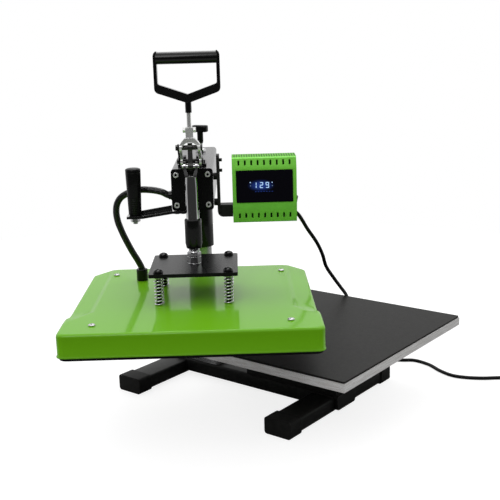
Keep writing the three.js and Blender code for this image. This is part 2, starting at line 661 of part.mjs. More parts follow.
function makeFrontPlate(group) {
  const outline = roundedRectangle(headBox.width, headBox.height, frontPlate.corner, 0, headMiddle);
  let body = prismY(outline, -plateFront, -headFront);
  for (const xSide of [-1, 1]) {
    for (const zSide of [-1, 1]) {
      const x = (xSide * frontBolt.pitchX) / 2;
      const z = headMiddle + (zSide * frontBolt.pitchZ) / 2;
      const face = -plateFront - frontBolt.height;
      body = body.add(barY(frontBolt.radius, x, face, -headFront, z, facets.small));
      body = body.subtract(barY(
        frontBolt.socket, x, face - fit.overrun, face + frontBolt.socketDepth, z, facets.hex));
    }
  }
  place(group, 'head_front_plate', body, paint.black);
}

// Pressure knob and its screw, which bears on the top of the post
function makePressureKnob(screwGroup, knobGroup) {
  const nutFoot = headTop + fit.seat;
  const screwTop = headTop + knob.lift + knobScrew.engagement;
  const screw = barZ(knobScrew.radius, knob.aside, 0, postTop + fit.seat, screwTop, facets.small)
    .add(nutZ(knobScrew.nutAcross, knob.aside, 0, nutFoot, nutFoot + knobScrew.nutHeight));
  place(screwGroup, 'knob_screw', screw, paint.chrome);

  const bottom = headTop + knob.lift;
  const barFoot = bottom + knob.stemHeight;
  const barTop = barFoot + knob.barHeight;
  const stemTop = barFoot + knob.barCorner;
  const stem = turned([
    [0, bottom], [knob.neckRadius, bottom], [knob.stemRadius, bottom + knob.neckRadius],
    [knob.stemRadius, stemTop], [0, stemTop],
  ], 0, 0);
  const middle = barFoot + knob.barHeight / 2;
  const halfLength = knob.barLength / 2;
  const halfDepth = knob.barDepth / 2;
  const bar = prismZ(roundedRectangle(knob.barLength, knob.barDepth, knob.barCorner), barFoot, barTop)
    .intersect(prismY(
      roundedRectangle(knob.barLength, knob.barHeight, knob.barCorner, 0, middle), -halfDepth, halfDepth))
    .intersect(prismX(
      roundedRectangle(knob.barDepth, knob.barHeight, knob.barCorner, 0, middle), -halfLength, halfLength));
  const bore = barZ(knobScrew.radius + fit.seat, 0, 0, bottom - fit.overrun, screwTop + fit.seat, facets.small);
  const piece = place(knobGroup, 'pressure_knob', stem.add(bar).subtract(bore), paint.plastic);
  piece.position.x = knob.aside;
  piece.rotation.z = degrees(knob.turn);
}

// Toggle bracket on the head box
function makeToggleBracket(group) {
  const bottom = headTop + fit.seat;
  const top = bottom + bracket.baseThickness;
  const rear = -(pivotAhead - bracket.earRadius - fork.eyeRadius - bracket.baseLength);
  const shoulder = -(pivotAhead - bracket.earRadius - fork.eyeRadius);
  const front = -(pivotAhead + bracket.earRadius - fit.seat);
  const earOuter = bracket.earGap / 2 + bracket.earThickness;
  let body = block(-bracket.baseWidth / 2, bracket.baseWidth / 2, shoulder, rear, bottom, top);
  body = body.add(block(-earOuter, earOuter, front, shoulder, bottom, top));
  const ear = filleted([
    [front, bottom, 0], [shoulder, bottom, 0], [shoulder, top, 0],
    [-pivotAhead + bracket.earRadius, toggle.pivotHeight + bracket.earRadius, bracket.earRadius],
    [front, toggle.pivotHeight + bracket.earRadius, bracket.earRadius - fit.seat],
  ], 0, facets.bend);
  for (const side of [-1, 1]) {
    const inner = (side * bracket.earGap) / 2;
    const outer = side * earOuter;
    body = body.add(prismX(ear, Math.min(inner, outer), Math.max(inner, outer)));
    const boltY = (rear + shoulder) / 2;
    const boltX = side * (bracket.baseWidth / 2 - bracket.boltInset);
    body = body.add(barZ(bracketBolt.radius, boltX, boltY, bottom, top + bracketBolt.height, facets.small));
  }
  body = body.subtract(barX(
    toggle.pinRadius + fit.slide, -earOuter - fit.overrun, earOuter + fit.overrun, ...pivotPlace));
  place(group, 'toggle_bracket', body, paint.black);
}

// Lever fork: two bowed cheeks joined by a crown, cut from a front view and a side view
function makeFork(group) {
  const inner = fork.gap / 2;
  const low = toggle.pivotHeight - fork.eyeRadius - fit.overrun;
  const crownBottom = crankHeight + fork.eyeRadius;
  const shoulderHeight = crankHeight + fork.shoulderRise;
  const bossHalf = forkBoss.width / 2;
  const front = filleted([
    [-forkOuter, low, 0], [-inner, low, 0], [-inner, crownBottom, fork.arch], [inner, crownBottom, fork.arch],
    [inner, low, 0], [forkOuter, low, 0], [forkOuter, shoulderHeight, fork.shoulder],
    [fork.crownHalf, forkCrown, fork.cheek], [-fork.crownHalf, forkCrown, fork.cheek],
    [-forkOuter, shoulderHeight, fork.shoulder],
  ], 0, facets.bend);
  const arch = prismY(front, -crankAhead - 2 * fork.eyeRadius, -pivotAhead + 2 * fork.eyeRadius);

  const along = new THREE.Vector2(crankPlace[0] - pivotPlace[0], crankPlace[1] - pivotPlace[1]).normalize();
  const side = new THREE.Vector2(along.y, -along.x);
  const at = (origin, distance, offset) => [
    origin[0] + along.x * distance + side.x * offset, origin[1] + along.y * distance + side.y * offset,
  ];
  const neck = filleted([
    at(pivotPlace, 0, fork.eyeRadius), at(crankPlace, 0, fork.neckFar),
    at(crankPlace, 0, -fork.neckNear), at(pivotPlace, 0, -fork.neckNear),
  ], 0);
  let view = prismX(circle(fork.eyeRadius, ...pivotPlace), -forkOuter, forkOuter);
  view = view.add(prismX(circle(fork.eyeRadius, ...crankPlace), -forkOuter, forkOuter));
  view = view.add(prismX(neck, -forkOuter, forkOuter));
  const half = fork.crownDepth / 2;
  view = view.add(block(
    -forkOuter, forkOuter, -crankAhead - half, -crankAhead + half, crankHeight, forkCrown + fit.overrun));
  let body = arch.intersect(view);
  body = body.add(block(
    -bossHalf, bossHalf, -crankAhead - forkBoss.depth / 2, -crankAhead + forkBoss.depth / 2,
    (crownBottom + forkCrown) / 2, forkBossTop));
  const far = forkOuter + fit.overrun;
  body = body.subtract(barX(toggle.pinRadius + fit.seat, -far, far, ...pivotPlace));
  body = body.subtract(barX(toggle.pinRadius + fit.seat, -far, far, ...crankPlace));
  body = body.subtract(barZ(
    rod.radius + fit.seat, 0, -crankAhead, forkCrown - fit.seat, forkBossTop + fit.overrun, facets.small));
  body = body.subtract(barX(
    clampBolt.radius + fit.seat, -far, far, -crankAhead, forkCrown + clampBolt.rise, facets.small));
  place(group, 'lever_fork', body, paint.chrome);
}

function makeLeverPins(group) {
  const left = -forkOuter - fit.seat - keeper.thickness - keeper.nutHeight;
  const right = forkOuter + fit.seat;
  for (const [name, spot] of [['lever_pivot_pin', pivotPlace], ['crank_pin', crankPlace]]) {
    const pin = barX(toggle.pinRadius, left, right + pinHead.height, ...spot)
      .add(barX(pinHead.radius, right, right + pinHead.height, ...spot))
      .add(barX(keeper.nutRadius, left, left + keeper.nutHeight - fit.seat, ...spot, facets.hex));
    place(group, name, pin, paint.steel);
  }
  const outer = -forkOuter - fit.seat - keeper.thickness;
  let plate = prismX(slotted(pivotPlace, crankPlace, keeper.halfWidth), outer, outer + keeper.thickness);
  for (const spot of [pivotPlace, crankPlace]) {
    plate = plate.add(prismX(circle(keeper.endRadius, ...spot), outer, outer + keeper.thickness));
  }
  for (const spot of [pivotPlace, crankPlace]) {
    plate = plate.subtract(barX(
      toggle.pinRadius + fit.seat, outer - fit.overrun, outer + keeper.thickness + fit.overrun, ...spot));
  }
  place(group, 'keeper_plate', plate, paint.black);

  const boltHeight = forkCrown + clampBolt.rise;
  const half = forkBoss.width / 2 + fit.seat;
  const hex = hexagon(clampBolt.across, -crankAhead, boltHeight);
  const bolt = barX(clampBolt.radius, -half - clampBolt.headHeight, half + clampBolt.headHeight,
    -crankAhead, boltHeight, facets.small)
    .add(prismX(hex, half, half + clampBolt.headHeight))
    .add(prismX(hex, -half - clampBolt.headHeight, -half));
  place(group, 'rod_clamp_bolt', bolt, paint.steel);
}

function makeLeverRod(group) {
  const stemBottom = forkBossTop + rod.exposed;
  const boltHeight = forkCrown + clampBolt.rise;
  const cross = barX(
    clampBolt.radius + fit.seat, -2 * rod.radius, 2 * rod.radius, -crankAhead, boltHeight, facets.small);
  const body = barZ(rod.radius, 0, -crankAhead, forkCrown, stemBottom + rod.buried, facets.small);
  place(group, 'lever_rod', body.subtract(cross), paint.chrome);
  return stemBottom;
}

// D handle: two flat legs on a V foot, a round grip bar between their tops and a round stem below
function makeHandle(group, stemBottom) {
  const vFoot = stemBottom + handle.stemLength;
  const top = vFoot + handle.height;
  const half = handle.width / 2;
  const stem = handle.stemRadius;
  const outer = filleted([
    [-stem, vFoot, 0], [stem, vFoot, 0], [half, vFoot + handle.vRise, handle.corner],
    [half, top, handle.corner], [-half, top, handle.corner], [-half, vFoot + handle.vRise, handle.corner],
  ], 0);
  const innerHalf = half - handle.legWidth;
  const innerFoot = vFoot + handle.baseThickness;
  const innerTop = top + fit.overrun;
  const inner = filleted([
    [0, innerFoot, 0], [innerHalf, innerFoot + handle.vRise, handle.innerCorner], [innerHalf, innerTop, 0],
    [-innerHalf, innerTop, 0], [-innerHalf, innerFoot + handle.vRise, handle.innerCorner],
  ], 0);
  const near = -crankAhead - handle.depth / 2;
  const far = -crankAhead + handle.depth / 2;
  let body = prismY(outer, near, far);
  body = body.subtract(prismY(inner, near - fit.overrun, far + fit.overrun));
  const reach = half - handle.gripInset;
  const gripHeight = top - handle.gripDrop - handle.gripRadius;
  body = body.add(barX(handle.gripRadius, -reach, reach, -crankAhead, gripHeight, facets.medium));
  body = body.add(barZ(stem, 0, -crankAhead, stemBottom, vFoot + handle.baseThickness / 2, facets.medium));
  const socketTop = stemBottom + rod.buried + fit.seat;
  body = body.subtract(barZ(
    rod.radius + fit.seat, 0, -crankAhead, stemBottom - fit.overrun, socketTop, facets.small));
  place(group, 'lever_handle', body, paint.plastic);
}

// Toggle link, drawn about its upper eye and hanging down
function makeLink(group) {
  const half = link.thickness / 2;
  const ends = [[0, 0], [0, -toggle.linkLength]];
  let body = prismX(slotted(...ends, link.waist), -half, half);
  for (const end of ends) {
    body = body.add(prismX(circle(link.eyeRadius, ...end), -half, half));
  }
  body = body.subtract(barX(toggle.pinRadius + fit.slide, -half - fit.overrun, half + fit.overrun, 0, 0));
  const piece = place(group, 'toggle_link', body, paint.steel);
  piece.position.set(0, -crankAhead, crankHeight);
  piece.rotation.x = -linkTilt;
}

// Thread grooves between two heights, as places of a turned profile
function threadProfile(radius, z0, z1) {
  const count = Math.floor((z1 - z0) / thread.pitch);
  const places = [];
  for (let groove = 0; groove < count; groove += 1) {
    const crest = z0 + groove * thread.pitch;
    places.push([radius, crest], [radius - thread.depth, crest + thread.pitch / 2]);
  }
  return places;
}

// Plunger: threaded tail, ground rod and a flared yoke that carries the open joint
function makePlunger(group) {
  const y = -ramReach;
  const neck = plunger.neckRadius;
  const flareLow = prongFoot + yoke.flareStart;
  const flareHigh = prongFoot + yoke.flareEnd;
  const rodBody = turned([
    [0, tail], [plunger.threadRadius - plunger.edge, tail], [plunger.threadRadius, tail + plunger.edge],
    ...threadProfile(plunger.threadRadius, nutTop, shoulder),
    [plunger.threadRadius, shoulder], [plunger.radius, shoulder],
    [plunger.radius, prongFoot - plunger.neckLength], [neck, prongFoot], [neck, flareLow], [0, flareLow],
  ], 0, y, facets.round);
  const half = yoke.width / 2;
  const top = jointHeight + yoke.eyeRadius;
  const eyeRound = yoke.eyeRadius - fit.seat;
  const outline = filleted([
    [-neck, prongFoot, 0], [neck, prongFoot, 0], [neck, flareLow, yoke.frontFillet],
    [half, flareHigh, yoke.frontFillet], [half, top + fit.overrun, 0], [-half, top + fit.overrun, 0],
    [-half, flareHigh, yoke.frontFillet], [-neck, flareLow, yoke.frontFillet],
  ], 0);
  const eye = filleted([
    [y - neck, prongFoot, 0], [y + neck, prongFoot, 0], [y + neck, flareLow, yoke.sideFillet],
    [y + yoke.eyeRadius, flareHigh, yoke.sideFillet], [y + yoke.eyeRadius, top, eyeRound],
    [y - yoke.eyeRadius, top, eyeRound], [y - yoke.eyeRadius, flareHigh, yoke.sideFillet],
    [y - neck, flareLow, yoke.sideFillet],
  ], 0);
  const prongs = prismY(outline, y - plunger.radius, y + plunger.radius).intersect(prismX(eye, -half, half));
  const under = plateUnderside - fit.seat;
  let body = rodBody.add(prongs);
  body = body.add(nutZ(ramNut.across, 0, y, under - ramNut.lowerHeight, under));
  const slotHalf = yoke.slot / 2;
  const innerHalf = half - yoke.armThickness;
  const slotFoot = prongFoot + yoke.armThickness / 2;
  const slotFlare = flareLow + yoke.armThickness / 2;
  const slotWide = flareHigh + yoke.armThickness / 2;
  const open = top + 2 * fit.overrun;
  const gap = [
    [-slotHalf, slotFoot], [slotHalf, slotFoot], [slotHalf, slotFlare], [innerHalf, slotWide],
    [innerHalf, open], [-innerHalf, open], [-innerHalf, slotWide], [-slotHalf, slotFlare],
  ];
  body = body.subtract(prismY(gap, y - 2 * plunger.radius, y + 2 * plunger.radius));
  for (const side of [-1, 1]) {
    const inner = side * slotHalf;
    const outer = side * (half + pinHead.height);
    body = body.add(barX(toggle.pinRadius, Math.min(inner, outer), Math.max(inner, outer), ...jointPlace));
  }
  place(group, 'plunger', body, paint.chrome);
}

// Guide barrel, carried by a web on the front plate
function makeBarrel(group) {
  const y = -ramReach;
  const outer = bearingRadius + barrel.wall;
  let body = turned([
    [0, barrelBottom], [bearingRadius + barrel.rim, barrelBottom], [outer, barrelBottom + barrel.taper],
    [outer, barrelTop - barrel.chamfer], [outer - barrel.chamfer, barrelTop], [0, barrelTop],
  ], 0, y, facets.round);
  const back = -plateFront - fit.seat;
  const webFoot = barrelBottom + barrel.taper;
  const webBack = Math.min(webFoot + gusset.width, headBox.bottom);
  const webTop = headBox.bottom + gusset.overlap;
  const web = filleted([
    [y, webFoot, 0], [back, webBack, gusset.corner], [back, webTop, gusset.edge],
    [back - gusset.reach, webTop, gusset.corner], [y + bearingRadius, barrelTop, 0], [y, barrelTop, 0],
  ], 0);
  body = body.add(prismX(web, -gusset.width / 2, gusset.width / 2));
  const high = Math.max(barrelTop, webTop) + fit.overrun;
  const bore = barZ(bearingRadius, 0, y, barrelBottom - fit.overrun, high, facets.round);
  place(group, 'guide_barrel', body.subtract(bore), paint.black);
}

function makeSpringPlate(group) {
  const y = -ramReach;
  const outline = roundedRectangle(springPlate.width, springPlate.length, springPlate.corner, 0, y);
  let body = prismZ(outline, plateUnderside, plateTop);
  const low = plateUnderside - fit.overrun;
  const high = plateTop + fit.overrun;
  body = body.subtract(barZ(plunger.threadRadius + fit.seat, 0, y, low, high));
  for (const [x, boltY] of boltPlaces) {
    body = body.subtract(barZ(guideBolt.radius + fit.slide, x, boltY, low, high, facets.small));
  }
  place(group, 'spring_plate', body, paint.black);
}

function makeRamNuts(group) {
  const y = -ramReach;
  const split = nutBottom + ramNut.height;
  const stack = barZ(ramNut.washerRadius, 0, y, nutSeat, nutBottom)
    .add(nutZ(ramNut.across, 0, y, nutBottom, split))
    .add(nutZ(ramNut.across, 0, y, split, nutTop));
  const bore = barZ(plunger.threadRadius + fit.seat, 0, y, nutSeat - fit.overrun, nutTop + fit.overrun);
  place(group, 'ram_nuts', stack.subtract(bore), paint.steel);
}

// Floating platen
function makeGuideBolts(group) {
  boltPlaces.forEach(([x, y], index) => {
    const bottom = platenTop - guideBolt.engagement;
    const seat = plateTop + fit.seat;
    const shank = guideBolt.radius;
    const head = guideBolt.headRadius;
    const headTopZ = seat + guideBolt.headHeight;
    const dome = domeShares.map(([out, up]) => [head * out, seat + guideBolt.headHeight * up]);
    const body = turned([
      [0, bottom], [shank, bottom], [shank, seat], [head, seat], ...dome, [0, headTopZ],
    ], x, y, facets.medium);
    const socket = barZ(
      guideBolt.socketRadius, x, y, headTopZ - guideBolt.socketDepth, headTopZ + fit.overrun, facets.hex);
    place(group, `guide_bolt_${index + 1}`, body.subtract(socket), paint.black);
  });
}

function springPlaces(low, high) {
  const mean = spring.outerRadius - spring.wire / 2;
  const start = low + fit.seat + spring.wire;
  const climb = high - low - 2 * fit.seat - 2 * spring.wire;
  const count = spring.curls * spring.steps;
  const places = [new THREE.Vector3(mean, 0, low + fit.seat)];
  for (let step = 0; step <= count; step += 1) {
    const angle = (2 * Math.PI * step) / spring.steps;
    const share = step / count;
    places.push(new THREE.Vector3(mean * Math.cos(angle), mean * Math.sin(angle), start + climb * share));
  }
  places.push(new THREE.Vector3(mean, 0, high - fit.seat));
  return places;
}

function makeSprings(group) {
  const places = springPlaces(fieldTop, plateUnderside);
  const gap = leastGap(places, spring.wire / 2, spring.steps / 2);
  console.log(`spring: least gap between curls ${gap.toFixed(2)} mm`);
  boltPlaces.forEach(([x, y], index) => {
    const wound = places.map((spot) => spot.clone().add(new THREE.Vector3(x, y, 0)));
    place(group, `spring_${index + 1}`, woundTube(wound, spring.wire / 2, spring.sides), paint.steel);
  });
}

function makeHeatPlaten(group) {
  const y = -ramReach;
  let body = prismZ(coverOutline(heatPlaten.inset), heatPlaten.underside, platenTop);
  const elementPath = (grow) => {
    const half = element.span / 2;
    const wide = element.width / 2 + grow;
    const floor = platenTop - element.depth - fit.seat - grow;
    const ceiling = platenTop - fit.seat + 2 * grow;
    let path = null;
    for (let run = 0; run < element.runs; run += 1) {
      const x = (run - (element.runs - 1) / 2) * element.pitch;
      const bar = block(x - wide, x + wide, y - half - grow, y + half + grow, floor, ceiling);
      path = path ? path.add(bar) : bar;
      if (run < element.runs - 1) {
        const end = run % 2 ? half - element.width : -half;
        path = path.add(block(
          x - wide, x + element.pitch + wide, y + end - grow, y + end + element.width + grow, floor, ceiling));
      }
    }
    return path;
  };
  body = body.subtract(elementPath(fit.seat));
  for (const [x, boltY] of boltPlaces) {
    body = body.subtract(barZ(
      guideBolt.radius + fit.seat, x, boltY, platenTop - guideBolt.engagement - fit.seat, platenTop + fit.overrun,
      facets.small));
  }
  place(group, 'heat_platen', body, paint.coating);
  place(group, 'heating_element', elementPath(0), paint.steel);
}

function makeBoard(group) {
  const bottom = platenTop + fit.seat;
  let body = prismZ(coverOutline(board.inset), bottom, bottom + board.thickness);
  for (const [x, boltY] of boltPlaces) {
    body = body.subtract(barZ(
      guideBolt.radius + fit.slide, x, boltY, bottom - fit.overrun, bottom + board.thickness + fit.overrun,
      facets.small));
  }
  place(group, 'insulation_board', body, paint.board);
}

// Outline of the cover seen from above: straight front, small step, chamfered rear corners
function coverOutline(inset) {
  const half = cover.side / 2 - inset;
  const narrow = half - cover.step;
  const front = -ramReach - cover.side / 2 + inset;
  const rear = -ramReach + cover.side / 2 - inset;
  const stepY = -ramReach - cover.side / 2 + cover.stepPlace;
  const cornerX = half - cover.chamferX;
  const cornerY = rear - cover.chamferY;
  return filleted([
    [-half, front, cover.frontCorner], [half, front, cover.frontCorner], [half, stepY, cover.step],
    [narrow, stepY + 2 * cover.step, cover.step], [narrow, cornerY, cover.frontCorner],
    [cornerX, rear, cover.frontCorner / 2], [-cornerX, rear, cover.frontCorner / 2],
    [-narrow, cornerY, cover.frontCorner], [-narrow, stepY + 2 * cover.step, cover.step],
    [-half, stepY, cover.step],
  ], 0);
}

// Outline of the raised field: full width at the front, narrowed past its shoulders
function fieldOutline(inset) {
  const wide = cover.side / 2 - field.edgeInset - inset;
  const narrow = cover.side / 2 - field.sideInset - inset;
  const front = -ramReach - cover.side / 2 + field.edgeInset + inset;
  const rear = -ramReach + cover.side / 2 - field.rearInset - inset;
  const waist = -ramReach - cover.side / 2 + field.frontDepth - inset;
  return [
    [-wide + field.edgeInset, front], [wide - field.edgeInset, front], [wide, front + field.edgeInset],
    [wide, waist - field.shoulder], [wide - field.shoulder / 2, waist], [narrow, waist + field.shoulderRun],
    [narrow, rear], [-narrow, rear], [-narrow, waist + field.shoulderRun],
    [-wide + field.shoulder / 2, waist], [-wide, waist - field.shoulder], [-wide, front + field.edgeInset],
  ];
}

// A low frustum between two outlines with the same count of points
function lofted(lower, upper, z0, z1) {
  const count = lower.length;
  const positions = [];
  for (const [outline, z] of [[lower, z0], [upper, z1]]) {
    outline.forEach(([x, y]) => positions.push(x, y, z));
  }
  const caps = THREE.ShapeUtils.triangulateShape(lower.map(([x, y]) => new THREE.Vector2(x, y)), []);
  const index = [];
  caps.forEach(([a, b, c]) => index.push(a, c, b, a + count, b + count, c + count));
  for (let i = 0; i < count; i += 1) {
    const j = (i + 1) % count;
    index.push(i, j, j + count, i, j + count, i + count);
  }
  const geometry = new THREE.BufferGeometry();
  geometry.setAttribute('position', new THREE.Float32BufferAttribute(positions, 3));
  geometry.setIndex(index);
  return solid(geometry);
}

function makeCover(group) {
  const bottom = heatPlaten.underside + cover.overhang;
  const wall = cover.wall;
  const bevelFoot = coverTop - cover.bevel;
  let body = prismZ(coverOutline(0), bottom, bevelFoot);
  body = body.add(lofted(coverOutline(0), coverOutline(cover.bevel), bevelFoot, coverTop));
  body = body.add(lofted(fieldOutline(0), fieldOutline(field.slope), coverTop, fieldTop));
  let room = prismZ(coverOutline(wall), bottom - fit.overrun, bevelFoot);
  room = room.add(lofted(coverOutline(wall), coverOutline(cover.bevel + wall), bevelFoot, coverTop - wall));
  room = room.add(lofted(
    fieldOutline(wall), fieldOutline(field.slope + wall), coverTop - wall, fieldTop - wall));
  body = body.subtract(room);
  for (const [x, y] of boltPlaces) {
    body = body.subtract(barZ(
      guideBolt.radius + fit.slide, x, y, coverTop - fit.overrun, fieldTop + fit.overrun, facets.small));
  }
  for (const side of [-1, 1]) {
    for (const y of [coverScrew.behindRam - ramReach, -coverScrew.aheadOfRam - ramReach]) {
      const x = (side * coverScrew.pitchX) / 2;
      body = body.add(turned([
        [0, fieldTop - wall / 2], [coverScrew.radius, fieldTop - wall / 2],
        [coverScrew.radius, fieldTop + coverScrew.height / 2],
        [coverScrew.radius / 2, fieldTop + coverScrew.height], [0, fieldTop + coverScrew.height],
      ], x, y, facets.small));
    }
  }
  place(group, 'platen_cover', body, paint.green);
}

function makeCollar(group) {
  const bottom = fieldTop + fit.seat;
  const top = bottom + collar.height;
  const body = turned([
    [0, bottom], [collar.radius, bottom], [collar.radius, top - collar.edge],
    [collar.radius - collar.edge, top], [0, top],
  ], -collar.out, -collarAhead);
  const bore = barZ(
    hose.radius + fit.slide, -collar.out, -collarAhead, top - collar.insert - fit.seat, top + fit.overrun);
  place(group, 'hose_collar', body.subtract(bore), paint.black);
}

// Side grip on its bent bracket
function makeSideGrip(bracketGroup, gripGroup) {
  const x = -grip.out;
  const y = gripBracket.setBack - boxFront;
  const halfStrip = gripBracket.thickness / 2;
  const endZ = gripBracket.endHeight;
  const end = x - gripBracket.endLength / 2;
  const inner = x + gripBracket.endLength / 2;
  const boxSide = -headBox.width / 2;
  const tabZ = headBox.bottom - fit.seat - halfStrip;
  const near = y - gripBracket.width / 2;
  const far = y + gripBracket.width / 2;
  let strip = prismY(bentStrip([
    [end, endZ], [inner, endZ], [boxSide, tabZ], [boxSide + gripBracket.tab, tabZ],
  ], gripBracket.thickness), near, far);
  const rib = prismY([
    [end + gripBracket.ribInset, endZ], [inner, endZ], [boxSide - gripBracket.ribInset, tabZ],
    [boxSide - gripBracket.ribInset, tabZ + halfStrip + gripBracket.ribHigh],
    [end + gripBracket.ribInset, endZ + halfStrip + gripBracket.ribLow],
  ], far - gripBracket.ribThickness, far);
  strip = strip.add(rib);
  for (const share of screwPlaceShares) {
    strip = strip.add(barZ(
      bracketScrew.radius, boxSide + gripBracket.tab * share, y, tabZ - halfStrip - bracketScrew.height, tabZ,
      facets.small));
  }
  const low = endZ - halfStrip;
  const high = endZ + halfStrip;
  const hole = barZ(spindle.radius + fit.seat, x, y, low - fit.overrun, high + fit.overrun, facets.small);
  place(bracketGroup, 'grip_bracket', strip.subtract(hole), paint.black);

  const gripBottom = high + fit.seat;
  const nutHigh = low - fit.seat;
  const nutLow = nutHigh - spindle.nutHeight;
  const pinTop = gripBottom + grip.height - 2 * grip.crown;
  const screw = barZ(spindle.radius, x, y, nutLow - spindle.tail, pinTop, facets.small)
    .add(nutZ(spindle.nutAcross, x, y, nutLow, nutHigh));
  place(bracketGroup, 'grip_spindle', screw, paint.steel);

  const top = gripBottom + grip.height;
  const ring = top - grip.ringDrop;
  const crown = crownShares.map(([out, up]) => [grip.highRadius * out, top - grip.crown + grip.crown * up]);
  const body = turned([
    [0, gripBottom], [grip.lowRadius - grip.foot / 2, gripBottom], [grip.lowRadius, gripBottom + grip.foot],
    [grip.highRadius, ring - grip.ring], [grip.highRadius - grip.ring / 2, ring - grip.ring / 2],
    [grip.highRadius, ring], [grip.highRadius, top - grip.crown], ...crown, [0, top],
  ], x, y);
  const spindleBore = spindle.radius + fit.slide;
  const bore = barZ(spindleBore, x, y, gripBottom - fit.overrun, pinTop + fit.slide, facets.small);
  place(gripGroup, 'side_grip', body.subtract(bore), paint.plastic);
}

// Hose from the head box to the collar on the cover
function makeHose(group) {
  const wall = -headBox.width / 2 - fit.seat;
  const end = wall - hoseGland.length;
  const gland = barX(hoseGland.radius, wall - hoseGland.flange, wall, -glandAhead, hoseGland.height)
    .add(barX(hoseGland.neck, end, wall - hoseGland.flange / 2, -glandAhead, hoseGland.height))
    .subtract(barX(
      hose.radius + fit.slide, end - fit.overrun, end + hose.insert, -glandAhead, hoseGland.height));
  place(group, 'hose_gland', gland, paint.black);

  const collarTop = fieldTop + fit.seat + collar.height;
  const from = end + hose.insert - fit.seat;
  const to = collarTop - collar.insert;
  const route = [
    [from, -glandAhead, hoseGland.height], [end, -glandAhead, hoseGland.height],
    ...hoseRoute.map(([x, y, z]) => [x, y - ramReach, z]),
    [-collar.out, -collarAhead, collarTop], [-collar.out, -collarAhead, to],
  ];
  place(group, 'hose', routedTube(route, hose.radius, hose.sides, hose.steps), paint.rubber);
}

// Controller housing: sloped vent bands above and below a flat display field
function housingProfile(inset) {
  const front = -housingFront + inset;
  const back = -housingBack;
  const low = housing.bottom + inset;
  const high = housingTop - inset;
  const slopeFront = front + housing.bandSlope;
  return [
    [back, low], [slopeFront + housing.corner, low], [slopeFront, low + housing.corner / 2],
    [front, housing.bottom + housing.lowBand], [front, housingTop - housing.highBand],
    [slopeFront, high - housing.corner / 2], [slopeFront + housing.corner, high], [back, high],
  ].reverse();
}

function makeHousing(group) {
  const wall = housing.wall;
  let body = prismX(housingProfile(0), housingLeft, housingRight);
  const room = prismX(housingProfile(wall), housingLeft + wall, housingRight - wall);
  body = body.subtract(room);
  body = body.subtract(block(
    housingLeft + wall, housingRight - wall, -housingBack - fit.overrun, -housingBack + fit.overrun,
    housing.bottom + wall, housingTop - wall));
  const front = -housingFront;
  for (let index = 0; index < slot.perRow; index += 1) {
    const x = housingMiddle + (index - (slot.perRow - 1) / 2) * slot.pitch;
    for (const z of [housing.bottom + slot.bottomRise, housingTop - slot.topDrop]) {
      body = body.subtract(block(
        x - slot.width / 2, x + slot.width / 2, front - fit.overrun, front + housing.bandSlope + 2 * fit.overrun,
        z - slot.height / 2, z + slot.height / 2));
    }
  }
  body = body.subtract(prismY(
    rectangle(display.width + 2 * fit.seat, display.height + 2 * fit.seat, housingMiddle, displayMiddle),
    front - fit.overrun, front + wall + fit.overrun));
  const rockerY = -housingFront + rocker.setBack;
  const rockerZ = housing.bottom + rocker.rise;
  body = body.subtract(block(
    housingRight - wall - fit.overrun, housingRight + fit.overrun,
    rockerY - rocker.width / 2 - fit.slide, rockerY + rocker.width / 2 + fit.slide,
    rockerZ - rocker.length / 2 - rocker.play, rockerZ + rocker.length / 2 + rocker.play));
  place(group, 'controller_housing', body, paint.green);

  const sheet = prismY(
    roundedRectangle(display.width, display.height, display.corner, housingMiddle, displayMiddle),
    front - display.proud, front + display.thickness - display.proud);
  place(group, 'display_panel', sheet, paint.glass);
}

function makeRearCover(group) {
  const gap = housing.wall + fit.seat;
  const reliefX = housingRight - relief.inset - 2 * relief.flange;
  const reliefZ = housing.bottom + relief.rise;
  const outer = -housingBack - fit.seat;
  const inside = outer - rearCover.thickness;
  let body = block(
    housingLeft + gap, housingRight - gap, inside, outer, housing.bottom + gap, housingTop - gap);
  body = body.subtract(barY(
    relief.radius + fit.seat, reliefX, inside - fit.overrun, outer + fit.overrun, reliefZ));
  place(group, 'controller_rear_cover', body, paint.green);

  const tip = outer + relief.flange + relief.length;
  const cone = new THREE.LatheGeometry([
    [0, inside - relief.flange], [relief.radius, inside - relief.flange],
    [relief.radius, outer + fit.seat], [relief.flangeRadius, outer + fit.seat],
    [relief.flangeRadius, outer + fit.seat + relief.flange], [relief.radius, outer + 2 * relief.flange],
    [relief.tip, tip], [0, tip],
  ].map(([r, s]) => new THREE.Vector2(r, s)), facets.medium);
  cone.translate(reliefX, 0, reliefZ);
  const bore = barY(cord.radius + fit.seat, reliefX, tip - cord.entry, tip + fit.overrun, reliefZ);
  place(group, 'strain_relief', solid(cone).subtract(bore), paint.rubber);
  return [reliefX, tip, reliefZ];
}

// Rocker switch, hinged along the head's own fore-and-aft line
function makeRocker(group) {
  const y = -housingFront + rocker.setBack;
  const z = housing.bottom + rocker.rise;
  const half = rocker.length / 2;
  const face = housingRight;
  const outline = [
    [face - rocker.depth, z - half + rocker.taper], [face - housing.wall - fit.slide, z - half],
    [face + fit.seat, z - half], [face + rocker.hollow / 2, z], [face + rocker.proud, z + half],
    [face - housing.wall - fit.slide, z + half], [face - rocker.depth, z + half - rocker.taper],
  ];
  place(group, 'power_switch', prismY(outline, y - rocker.width / 2, y + rocker.width / 2), paint.plastic);
}

